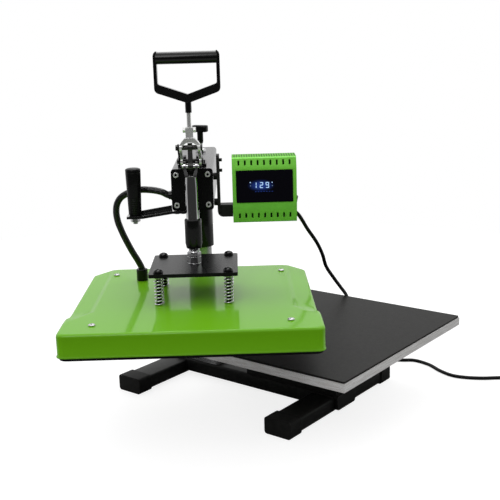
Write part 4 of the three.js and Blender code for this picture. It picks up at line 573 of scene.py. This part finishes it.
# Finishes: name, colour and roughness of the plain material, the rest of its look, its fine surface
FINISHES = {
    "green": (("green_paint", GREEN, 0.4), dict(coat=0.54, gloss=0.05, clear=0.09),
              dict(scale=15, depth=0.0003, edge=0.0012, tint=0.04)),
    "housing": (("housing_paint", HOUSING_GREEN, 0.45), dict(coat=0.2, gloss=0.1),
                dict(scale=900, depth=0.00004, edge=0.0009, tint=0.05)),
    "frame": (("frame_black", DARK, 0.4), dict(gloss=0.13),
              dict(scale=1500, depth=0.00008, edge=0.0009, wear=0.07, tint=0.25)),
    "head": (("head_black", BLACK, 0.28), dict(coat=0.42, gloss=0.12),
             dict(scale=900, depth=0.00004, edge=0.0007, wear=0.06, tint=0.2)),
    "plate": (("plate_black", BLACK, 0.3), dict(coat=0.05, gloss=0.15),
              dict(scale=700, depth=0.00002, edge=0.0006, wear=0.06, tint=0.2)),
    "bolt": (("bolt_black", BLACK, 0.2), dict(coat=0.2, gloss=0.2),
             dict(scale=700, depth=0.00002, edge=0.0005, wear=0.05)),
    "coating": (("platen_coating", BLACK, 0.4), dict(gloss=0.1),
                dict(scale=1300, depth=0.00006, edge=0.0006, wear=0.07, tint=0.2)),
    "foot_rubber": (("foot_rubber", DARK, 0.6), dict(gloss=0.12),
                    dict(scale=1200, depth=0.00008, edge=0.0016, wear=0.08, tint=0.2)),
    "hose_rubber": (("hose_rubber", BLACK, 0.34), dict(gloss=0.2),
                    dict(scale=900, depth=0.00003, edge=0.0004, wear=0.06)),
    "hose_braid": (("hose_braid", BLACK, 0.3), dict(coat=0.35, gloss=0.25),
                   dict(scale=900, depth=0.00002, edge=0.0004, wear=0.06)),
    "cord_rubber": (("cord_rubber", BLACK, 0.38), dict(gloss=0.2),
                    dict(scale=900, depth=0.00003, edge=0.0004, wear=0.06)),
    "plastic": (("moulded_plastic", DARK, 0.38), dict(gloss=0.15),
                dict(scale=1400, depth=0.00004, edge=0.0008, wear=0.06, tint=0.15)),
    "grip": (("grip_plastic", BLACK, 0.3), dict(coat=0.1, gloss=0.14),
             dict(scale=500, depth=0.00003, edge=0.0014, wear=0.06)),
    "handle": (("handle_plastic", BLACK, 0.2), dict(coat=0.4, gloss=0.2),
               dict(scale=500, depth=0.00003, edge=0.0014, wear=0.06)),
    "silicone": (("silicone_mat", SILICONE, 0.5), dict(gloss=0.12),
                 dict(scale=1800, depth=0.00008, edge=0.0008, wear=0.1, tint=0.2)),
    "steel": (("ground_steel", STEEL, 0.28), dict(metallic=0.65),
              dict(scale=300, depth=0.00002, edge=0.0003, stretch=(1, 1, 12), wear=0.08, tint=0.08)),
    "zinc": (("zinc_steel", ZINC, 0.24), dict(metallic=1.0),
             dict(scale=800, depth=0.00002, edge=0.0005, wear=0.08, tint=0.1)),
    "spring": (("spring_steel", BRIGHT, 0.16), dict(metallic=1.0),
               dict(scale=900, depth=0.00001, edge=0.0003, wear=0.05)),
    "satin": (("satin_zinc", SATIN, 0.3), dict(metallic=0.6),
              dict(scale=500, depth=0.00001, edge=0.0006, wear=0.05)),
    "cast": (("cast_zinc", CAST, 0.24), dict(metallic=0.55, coat=0.4),
             dict(scale=500, depth=0.00002, edge=0.0012, wear=0.06, tint=0.1)),
    "gloss": (("gloss_black", BLACK, 0.2), dict(coat=1.0),
              dict(scale=500, depth=0.00001, edge=0.0006, wear=0.04)),
    "dark_steel": (("blackened_steel", BLACKENED, 0.34), dict(metallic=1.0),
                   dict(scale=700, depth=0.00002, edge=0.0005, wear=0.08, tint=0.15)),
    "chrome": (("bright_chrome", BRIGHT, 0.07), dict(metallic=1.0),
               dict(scale=400, depth=0.000006, edge=0.0005, wear=0.03)),
    "aluminium": (("milled_aluminium", ALUMINIUM, 0.34), dict(metallic=0.4),
                  dict(scale=420, depth=0.00004, edge=0.0006, stretch=(1, 1, 16), wear=0.1, tint=0.22)),
    "brass": (("bush_brass", BRASS, 0.35), dict(metallic=1.0),
              dict(scale=500, depth=0.00002, wear=0.08, tint=0.1)),
    "board": (("fibre_board", BOARD, 0.95), dict(), dict(scale=900, depth=0.0001, tint=0.08)),
    "glass": (("display_panel", PANEL, 0.08), dict(gloss=0.12), dict(scale=200, depth=0.000002, edge=0.0004)),
    # Black laid as painted shade: inside the housing, in the front bolts' sockets and in the cover screws'
    # recesses
    "vent": (("vent_inside", BLACK, 0.7), dict(gloss=0.1), dict(scale=900, depth=0.00003)),
    # grille: the housing's top in its paint darkened as painted shade, with painted shade in its slots
    "grille": (("housing_grille_shaded", SHADED_GRILLE_GREEN, 0.5), dict(gloss=0.08),
               dict(scale=900, depth=0.00004, edge=0.0009, tint=0.05)),
}


def make_materials():
    made = {}
    for finish, (plain, look, surface) in FINISHES.items():
        made[finish] = add_surface(new_material(*plain, **look), **surface)
    add_ribs(made["handle"], **HANDLE_RIBS)
    add_ribs(made["grip"], **GRIP_RIBS)
    add_slot_shade(made["grille"], SLOT_SHADE_GREEN, **GRILLE_SLOT_SHADE)
    add_braid(made["hose_braid"], **HOSE_STRANDS)
    add_halo(made["glass"])
    return made


# Nodes of the frame by finish
NODE_FINISH = {
    "frame": ["controller_bracket", "base_spine", "front_foot", "rear_foot", "platen_pedestal"],
    "foot_rubber": [
        "foot_cap_front_left", "foot_cap_front_right", "foot_cap_rear_left", "foot_cap_rear_right",
    ],
    "plastic": ["spine_plug_front", "spine_plug_rear", "head_rear_plug", "power_switch", "power_plug"],
    "steel": ["post"],
    "aluminium": ["lower_platen"],
    "coating": ["heat_platen"],
    "silicone": ["silicone_mat"],
    "head": [
        "swing_sleeve", "head_box", "head_front_plate", "toggle_bracket", "keeper_plate", "guide_barrel",
    ],
    "gloss": ["grip_bracket"],
    "plate": ["spring_plate"],
    "brass": ["swing_bush"],
    "chrome": ["knob_screw", "plunger", "ram_nuts"],
    "satin": ["lever_rod", "rod_clamp_bolt"],
    "cast": ["lever_fork"],
    "dark_steel": ["lever_pivot_pin", "crank_pin", "toggle_link"],
    "grip": ["pressure_knob", "side_grip"],
    "handle": ["lever_handle"],
    "zinc": ["heating_element", "grip_spindle"],
    "bolt": ["guide_bolt_1", "guide_bolt_2", "guide_bolt_3", "guide_bolt_4", "hose_collar", "hose_gland"],
    "board": ["insulation_board"],
    "housing": ["controller_housing", "controller_rear_cover"],
    "glass": ["display_panel"],
    "hose_rubber": ["strain_relief"],
}


def make_softening():
    """A modifier tree that joins split corners and shades smooth all edges but the sharp ones."""
    tree = bpy.data.node_groups.new("soften", "GeometryNodeTree")
    tree.interface.new_socket("Geometry", in_out="INPUT", socket_type="NodeSocketGeometry")
    tree.interface.new_socket("Geometry", in_out="OUTPUT", socket_type="NodeSocketGeometry")
    start = tree.nodes.new("NodeGroupInput")
    end = tree.nodes.new("NodeGroupOutput")
    merge = tree.nodes.new("GeometryNodeMergeByDistance")
    merge.inputs["Distance"].default_value = MERGE_DISTANCE
    faces = tree.nodes.new("GeometryNodeSetShadeSmooth")
    edges = tree.nodes.new("GeometryNodeSetShadeSmooth")
    edges.domain = "EDGE"
    angle = tree.nodes.new("GeometryNodeInputMeshEdgeAngle")
    sharp = tree.nodes.new("FunctionNodeCompare")
    sharp.data_type = "FLOAT"
    sharp.operation = "GREATER_THAN"
    sharp.inputs[1].default_value = SHARP_ANGLE
    edges.inputs["Shade Smooth"].default_value = False
    tree.links.new(start.outputs["Geometry"], merge.inputs["Geometry"])
    tree.links.new(merge.outputs["Geometry"], faces.inputs["Geometry"])
    tree.links.new(faces.outputs["Geometry"], edges.inputs["Geometry"])
    tree.links.new(angle.outputs["Unsigned Angle"], sharp.inputs[0])
    tree.links.new(sharp.outputs["Result"], edges.inputs["Selection"])
    tree.links.new(edges.outputs["Geometry"], end.inputs["Geometry"])
    return tree


def finish_faces(name, material, test):
    """Gives another material to faces of a node by a test of their middle and normal in the head's frame."""
    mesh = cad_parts[name].data
    mesh.materials.append(material)
    for face in mesh.polygons:
        if test(to_head(face.center), SWING_BACK @ face.normal):
            face.material_index = len(mesh.materials) - 1


def in_front_socket(p):
    """Whether a place on the front plate lies inside the hexagon of one of its four bolts, where painted shade
    is laid.
    """
    across = math.hypot(abs(p.x) - FRONT_BOLT["x"], abs(p.z - FRONT_BOLT["z"]) - FRONT_BOLT["rise"])
    return FRONT_BOLT["face"] < p.y < FRONT_BOLT["foot"] and across < FRONT_BOLT["socket"]


def dress_nodes(materials):
    softening = make_softening()
    for finish, names in NODE_FINISH.items():
        for name in names:
            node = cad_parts[name]
            node.data.materials.clear()
            node.data.materials.append(materials[finish])
            modifier = node.modifiers.new("soften", "NODES")
            modifier.node_group = softening
    face_finishes = (
        ("head_front_plate", "cast", lambda p, n: p.y < FRONT_BOLT["foot"]),
        # painted shade in the hex sockets of the front plate's bolts
        ("head_front_plate", "vent", lambda p, n: in_front_socket(p)),
        ("plunger", "dark_steel", lambda p, n: n.z > YOKE["level"] and p.z > YOKE["foot"]),
        # painted shade on the housing's inside faces
        ("controller_housing", "vent", lambda p, n: n.dot(p - HOUSING_MIDDLE) < 0),
        # painted shade: the housing's top faces take the darkened grille finish
        ("controller_housing", "grille", lambda p, n: n.z > GRILLE["level"] and p.z > GRILLE["foot"]),
    )
    for name, finish, test in face_finishes:
        finish_faces(name, materials[finish], test)


# Power cord
def coil_points():
    """The coil from its outer lower turn inwards, up to its second layer and out again, and its way out."""
    turns = COIL["turns"]
    start = math.radians(COIL["heading"]) - math.pi / 2
    crossing = (turns - COIL["crossing"]) / 2, (turns + COIL["crossing"]) / 2
    count = round(turns * COIL["steps"])
    points = []
    for step in range(count + 1):
        share = step / count
        angle = start + turns * 2 * math.pi * share
        radius = COIL["radius"] - COIL["pitch"] * turns * min(share, 1 - share)
        x, y = COIL["x"] + radius * math.cos(angle), COIL["y"] + radius * math.sin(angle)
        points.append(Vector((x, y, COIL["z"] + COIL["rise"] * smoothstep(share * turns, *crossing))))
    out = Vector((-math.sin(angle), math.cos(angle), 0))
    return points, out


def cord_path():
    heading = math.radians(COIL["heading"])
    into = Vector((math.cos(heading), math.sin(heading), 0))
    turns, out = coil_points()
    meet = turns[0] - into * COIL["lead"]
    ends = [tuple(meet - into * COIL["run_in"]), tuple(meet)]
    free = spline([*CORD_START, *CORD_ROUTE, *ends], CORD_POINTS)
    steps = COIL["tail_steps"]
    tail = [turns[-1] + out * COIL["tail"] * step / steps for step in range(1, steps + 1)]
    return [from_post(p) for p in [*free, *turns, *tail]]


def make_cord(materials):
    path = cord_path()
    lead = tube("mains_lead", path, CORD_RADIUS * MM, CORD_SIDES, materials["cord_rubber"])
    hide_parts("power_cord", "cord_coil")
    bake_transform(lead)


# Hose between the head box and the cover, in its braided sleeve
def make_hose(materials):
    path = [from_head(p) for p in spline(HOSE_ROUTE, HOSE_POINTS)]
    hose = tube("hose_look", path, HOSE_RADIUS * MM, HOSE_SIDES, materials["hose_braid"])
    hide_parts("hose")
    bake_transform(hose)


# Springs under the spring plate, with closed turns at both ends
def make_springs(materials):
    wire = SPRING["wire"] * MM
    mean = SPRING["outer"] * MM - wire / 2
    curls, steps = SPRING["curls"], SPRING["steps"]
    for index in range(1, SPRING["count"] + 1):
        name = f"spring_{index}"
        low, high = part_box(name)
        bolt_low, bolt_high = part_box(f"guide_bolt_{index}")
        centre = (bolt_low + bolt_high) / 2
        bottom, top = low.z + wire / 2, high.z - wire / 2
        path = []
        for step in range((curls + 1) * steps + 1):
            angle = 2 * math.pi * step / steps
            share = min(max((step - steps / 2) / (curls * steps), 0), 1)
            x, y = centre.x + mean * math.cos(angle), centre.y + mean * math.sin(angle)
            path.append(Vector((x, y, bottom + (top - bottom) * share)))
        look = tube(f"spring_look_{index}", path, wire / 2, SPRING["sides"], materials["spring"])
        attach(look, "ram")
        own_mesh(look)
        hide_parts(name)


# Pressed sheet cover with its raised field and rolled hem
def cover_outline(inset):
    half, narrow = COVER["half"] - inset, COVER["half"] - COVER["step"] - inset
    front, rear = COVER["front"] + inset, COVER["rear"] - inset
    side, back = half - COVER["chamfer_x"], rear - COVER["chamfer_y"]
    corner, step, step_y = COVER["corner"], COVER["step"], COVER["step_y"]
    return rounded([
        (-half, front, corner), (half, front, corner),
        (half, step_y, step), (narrow, step_y + 2 * step, step),
        (narrow, back, corner), (side, rear, corner / 2), (-side, rear, corner / 2), (-narrow, back, corner),
        (-narrow, step_y + 2 * step, step), (-half, step_y, step),
    ])


def field_outline(inset):
    wide, narrow = FIELD["wide"] - inset, FIELD["narrow"] - inset
    front, rear, waist = FIELD["front"] + inset, FIELD["rear"] - inset, FIELD["waist"] - inset
    edge, shoulder, run = FIELD["edge"], FIELD["shoulder"], FIELD["run"]
    corner, bend, rear_corner = FIELD["corner"], FIELD["bend"], FIELD["rear_corner"]
    return rounded([
        (-wide + edge, front, corner), (wide - edge, front, corner), (wide, front + edge, corner),
        (wide, waist - shoulder, bend), (wide - shoulder / 2, waist, bend), (narrow, waist + run, bend),
        (narrow, rear, rear_corner), (-narrow, rear, rear_corner),
        (-narrow, waist + run, bend), (-wide + shoulder / 2, waist, bend), (-wide, waist - shoulder, bend),
        (-wide, front + edge, corner),
    ], FIELD["corner_steps"])


def cover_top(y):
    """Height of the cover's border, which is higher in front."""
    return COVER["high"] + (COVER["low"] - COVER["high"]) * smoothstep(y, *COVER["drop"])


def cover_rings():
    """Rings of points: inside of the sheet, round its hem, up its side and edge, and up to its field."""
    centre = np.array([0.0, (COVER["front"] + COVER["rear"]) / 2])
    angles = np.linspace(0, 2 * math.pi, COVER["sides"], endpoint=False)
    bottom, edge, wall, ease = COVER["bottom"], COVER["edge"], COVER["wall"], FIELD["ease"]
    inner = cast(cover_outline(wall), centre, angles)
    rings = [[(x, y, cover_top(y) - wall) for x, y in inner]]
    rings.append([(x, y, bottom + COVER["lip"]) for x, y in inner])
    for inset, height in HEM:
        rings.append([(x, y, bottom + height) for x, y in cast(cover_outline(inset), centre, angles)])
    for step in range(COVER["edge_steps"] + 1):
        turn = math.pi / 2 * step / COVER["edge_steps"]
        around = cast(cover_outline(edge * (1 - math.cos(turn))), centre, angles)
        rings.append([(x, y, cover_top(y) - edge * (1 - math.sin(turn))) for x, y in around])
    for step in range(FIELD["steps"] + 1):
        share = step / FIELD["steps"]
        around = cast(field_outline((FIELD["slope"] + 2 * ease) * share - ease), centre, angles)
        rise = smoothstep(share, 0, 1)
        rings.append([(x, y, cover_top(y) + (COVER["high"] - cover_top(y)) * rise) for x, y in around])
    return rings


def make_cover(materials):
    rings = cover_rings()
    vertices = [from_head(p) for ring in rings for p in ring]
    cover = mesh_object("cover_look", vertices, ring_faces(len(rings), COVER["sides"]), materials["green"])
    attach(cover, "upper_platen")
    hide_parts("platen_cover")


def make_platen_rim(materials):
    """The folded edge round the heat platen, seen as a dark line under the cover."""
    centre = np.array([0.0, (COVER["front"] + COVER["rear"]) / 2])
    count = RIM["sides"]
    angles = np.linspace(0, 2 * math.pi, count, endpoint=False)
    inner, outer, low, high, bevel = (RIM[key] for key in ("inner", "outer", "low", "high", "bevel"))
    section = [(inner, low + bevel), (inner - bevel, low), (outer + bevel, low), (outer, low + bevel),
               (outer, high), (inner, high)]
    vertices, faces = [], []
    for inset, height in section:
        vertices += [from_head((x, y, height)) for x, y in cast(cover_outline(inset), centre, angles)]
    for ring in range(len(section)):
        here, there = ring * count, (ring + 1) % len(section) * count
        for side in range(count):
            ahead = (side + 1) % count
            faces.append((here + side, here + ahead, there + ahead, there + side))
    rim = mesh_object("platen_rim", vertices, faces, materials["coating"], smooth=False)
    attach(rim, "upper_platen")


# Cover screws with a cross recess
def screw_dome(x, y, share):
    """Height of a screw head at a place, where share is the distance from its middle in radii."""
    radius, height = SCREW["radius"], SCREW["height"]
    arm, half_width, soft = (radius * RECESS[key] for key in ("arm", "half_width", "soft"))

    def band(value, limit):
        return min(max((limit - abs(value)) / soft + 0.5, 0), 1)

    dome = height * math.sqrt(1 - (SCREW["spread"] * share) ** SCREW["bend"])
    cross = max(band(x, half_width) * band(y, arm), band(y, half_width) * band(x, arm))
    return dome - height * RECESS["deep"] * cross


def screw_head(name, centre, turn, materials):
    """A domed screw head on a level face, its cross recess sunk into the dome, with painted shade deep in the
    recess.
    """
    rings, sides, radius = SCREW["rings"], SCREW["sides"], SCREW["radius"]
    vertices, faces = [], []
    for ring in range(rings + 1):
        share = ring / rings
        for side in range(sides):
            angle = 2 * math.pi * side / sides
            x, y = radius * share * math.cos(angle), radius * share * math.sin(angle)
            z = centre[2] + screw_dome(x, y, share)
            spot = Matrix.Rotation(turn, 2) @ Vector((x, y))
            vertices.append(from_head((centre[0] + spot.x, centre[1] + spot.y, z)))
    for side in range(sides):
        angle = 2 * math.pi * side / sides + turn
        x, y = centre[0] + radius * math.cos(angle), centre[1] + radius * math.sin(angle)
        vertices.append(from_head((x, y, centre[2] - SCREW["skirt"])))
    for ring in range(rings + 1):
        for side in range(sides):
            a, b = ring * sides + side, ring * sides + (side + 1) % sides
            faces.append((a, a + sides, b + sides, b))
    faces.append(tuple(range((rings + 2) * sides - 1, (rings + 1) * sides - 1, -1)))
    head = mesh_object(name, vertices, faces, materials["zinc"])
    head.data.materials.append(materials["vent"])
    # Painted shade: faces low in the cross recess and near its middle take the black material
    ceiling = (COVER["high"] + SCREW["height"] * RECESS["shade_height"]) * MM
    reach = radius * RECESS["shade_reach"] * MM
    for face in head.data.polygons:
        if face.center.z < ceiling and (face.center - from_head(centre)).xy.length < reach:
            face.material_index = 1
    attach(head, "upper_platen")


def make_cover_screws(materials):
    for index, (x, y) in enumerate(COVER_SCREWS):
        turn = SCREW["turn"] + index * SCREW["turn_step"]
        screw_head(f"cover_screw_{index + 1}", (x, y, COVER["high"]), turn, materials)


# Figures on the display
def display_mark(name, corners, material):
    front = DISPLAY["front"] - DISPLAY["proud"]
    places = [from_head((DISPLAY["x"] + x, front, DISPLAY["z"] + z)) for x, z in corners]
    mark = mesh_object(name, places, [tuple(range(len(places)))], material, smooth=False)
    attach(mark, "head")


def stroke_bar(x0, x1, z0, z1):
    """A lit bar with pointed ends, as six corners."""
    if x1 - x0 > z1 - z0:
        half = (z1 - z0) / 2
        left, right = x0 + half, x1 - half
        return [(x0, z0 + half), (left, z0), (right, z0), (x1, z0 + half), (right, z1), (left, z1)]
    half = (x1 - x0) / 2
    low, high = z0 + half, z1 - half
    return [(x0 + half, z0), (x1, low), (x1, high), (x0 + half, z1), (x0, high), (x0, low)]


def digit_bars(middle):
    """The seven strokes of a digit by letter, each as left, right, low and high."""
    width, height, stroke, gap = (DIGIT[key] for key in ("width", "height", "stroke", "gap"))
    left, low = middle - width / 2, DIGIT["middle"] - height / 2
    right, high, waist = left + width, low + height, low + height / 2
    return {
        "a": (left + gap, right - gap, high - stroke, high),
        "b": (right - stroke, right, waist + gap, high - gap),
        "c": (right - stroke, right, low + gap, waist - gap),
        "d": (left + gap, right - gap, low, low + stroke),
        "e": (left, left + stroke, low + gap, waist - gap),
        "f": (left, left + stroke, waist + gap, high - gap),
        "g": (left + gap, right - gap, waist - stroke / 2, waist + stroke / 2),
    }


def lit_material(name, color, strength):
    material = new_material(name, UNLIT, 0.4, gloss=0.1)
    shader = material.node_tree.nodes["Principled BSDF"]
    shader.inputs["Emission Color"].default_value = color
    shader.inputs["Emission Strength"].default_value = strength
    return material


def make_display():
    lit = {name: lit_material(f"display_{name}", color, strength) for name, (color, strength) in LIT.items()}
    for index, (digit, middle) in enumerate(DIGIT_PLACES):
        bars = digit_bars(middle)
        for letter in STROKES[digit]:
            display_mark(f"digit_{index + 1}_{letter}", stroke_bar(*bars[letter]), lit["glow"])
    angles = np.linspace(0, 2 * math.pi, LAMP["sides"] + 1)[:-1]
    for index, (x, z, level) in enumerate(LAMP_PLACES):
        dot = [(x + LAMP["radius"] * math.cos(a), z + LAMP["radius"] * math.sin(a)) for a in angles]
        display_mark(f"lamp_{index + 1}", dot, lit[level])
    for index in range(MARK["count"]):
        x = MARK["first"] + index * MARK["step"]
        bar = stroke_bar(x - MARK["reach"], x + MARK["reach"], MARK["low"], MARK["high"])
        display_mark(f"mark_{index + 1}", bar, lit["faint"])


# Room
def make_floor():
    """A pale floor that reads white where the camera sees it lit, and keeps its shadow."""
    material = new_material("floor", (FLOOR_GREY, FLOOR_GREY, FLOOR_GREY, 1), 0.9, gloss=0.0)
    tree = material.node_tree
    shader = tree.nodes["Principled BSDF"]
    rays = tree.nodes.new("ShaderNodeLightPath")
    level = tree.nodes.new("ShaderNodeMapRange")
    level.inputs["To Min"].default_value = 0
    level.inputs["To Max"].default_value = FLOOR_SHINE
    shader.inputs["Emission Color"].default_value = WHITE
    tree.links.new(rays.outputs["Is Camera Ray"], level.inputs["Value"])
    tree.links.new(level.outputs["Result"], shader.inputs["Emission Strength"])
    angles = np.linspace(0, 2 * math.pi, FLOOR_SIDES + 1)[:-1]
    rim = [AXIS + Vector((math.cos(a), math.sin(a), 0)) * FLOOR_RADIUS for a in angles]
    floor = mesh_object("floor", rim, [tuple(range(FLOOR_SIDES))], material, smooth=False)


def sky_ramp(tree, height, stops):
    ramp = tree.nodes.new("ShaderNodeValToRGB")
    for index, (position, level) in enumerate(stops):
        stop = ramp.color_ramp.elements[index] if index < 2 else ramp.color_ramp.elements.new(position)
        stop.position = position
        stop.color = (level, level, level, 1)
    tree.links.new(height, ramp.inputs["Fac"])
    return ramp.outputs["Color"]


def make_world():
    """White where the camera looks. For light and gloss, bright behind and above, and dark in front."""
    world = bpy.data.worlds.new("world")
    world.use_nodes = True
    tree = world.node_tree
    place = tree.nodes.new("ShaderNodeTexCoord")
    split = tree.nodes.new("ShaderNodeSeparateXYZ")
    tree.links.new(place.outputs["Generated"], split.inputs["Vector"])
    front = tree.nodes.new("ShaderNodeVectorMath")
    front.operation = "DOT_PRODUCT"
    front.inputs[1].default_value = (math.sin(CAMERA_HEADING), -math.cos(CAMERA_HEADING), 0)
    tree.links.new(place.outputs["Generated"], front.inputs[0])
    share = tree.nodes.new("ShaderNodeMapRange")
    share.interpolation_type = "SMOOTHSTEP"
    share.inputs["From Min"].default_value = SKY_TURN[0]
    share.inputs["From Max"].default_value = SKY_TURN[1]
    tree.links.new(front.outputs["Value"], share.inputs["Value"])
    rays = tree.nodes.new("ShaderNodeLightPath")
    seen = new_math(tree, "MAXIMUM")
    tree.links.new(rays.outputs["Is Camera Ray"], seen.inputs[0])
    tree.links.new(rays.outputs["Is Transmission Ray"], seen.inputs[1])
    behind = sky_ramp(tree, split.outputs["Z"], SKY_BEHIND)
    ahead = sky_ramp(tree, split.outputs["Z"], SKY_FRONT)
    sky = mix_colors(tree, share.outputs["Result"], behind, ahead)
    color = mix_colors(tree, seen.outputs["Value"], sky, WHITE)
    tree.links.new(color, tree.nodes["Background"].inputs["Color"])
    bpy.context.scene.world = world


def make_room():
    scene = bpy.context.scene
    make_floor()
    make_world()
    for name, place, aim, size, power in ROOM_LAMPS:
        light = bpy.data.lights.new(name, "AREA")
        light.size = size
        light.energy = power
        lamp = bpy.data.objects.new(name, light)
        scene.collection.objects.link(lamp)
        where = from_post(place)
        turn = (from_post(aim) - where).to_track_quat("-Z", "Y").to_matrix().to_4x4()
        lamp.matrix_world = Matrix.Translation(where) @ turn
    scene.view_settings.view_transform = "Standard"


def main():
    make_camera()
    materials = make_materials()
    make_cord(materials)
    dress_nodes(materials)
    make_hose(materials)
    make_springs(materials)
    make_cover(materials)
    make_platen_rim(materials)
    make_cover_screws(materials)
    make_display()
    make_room()


main()
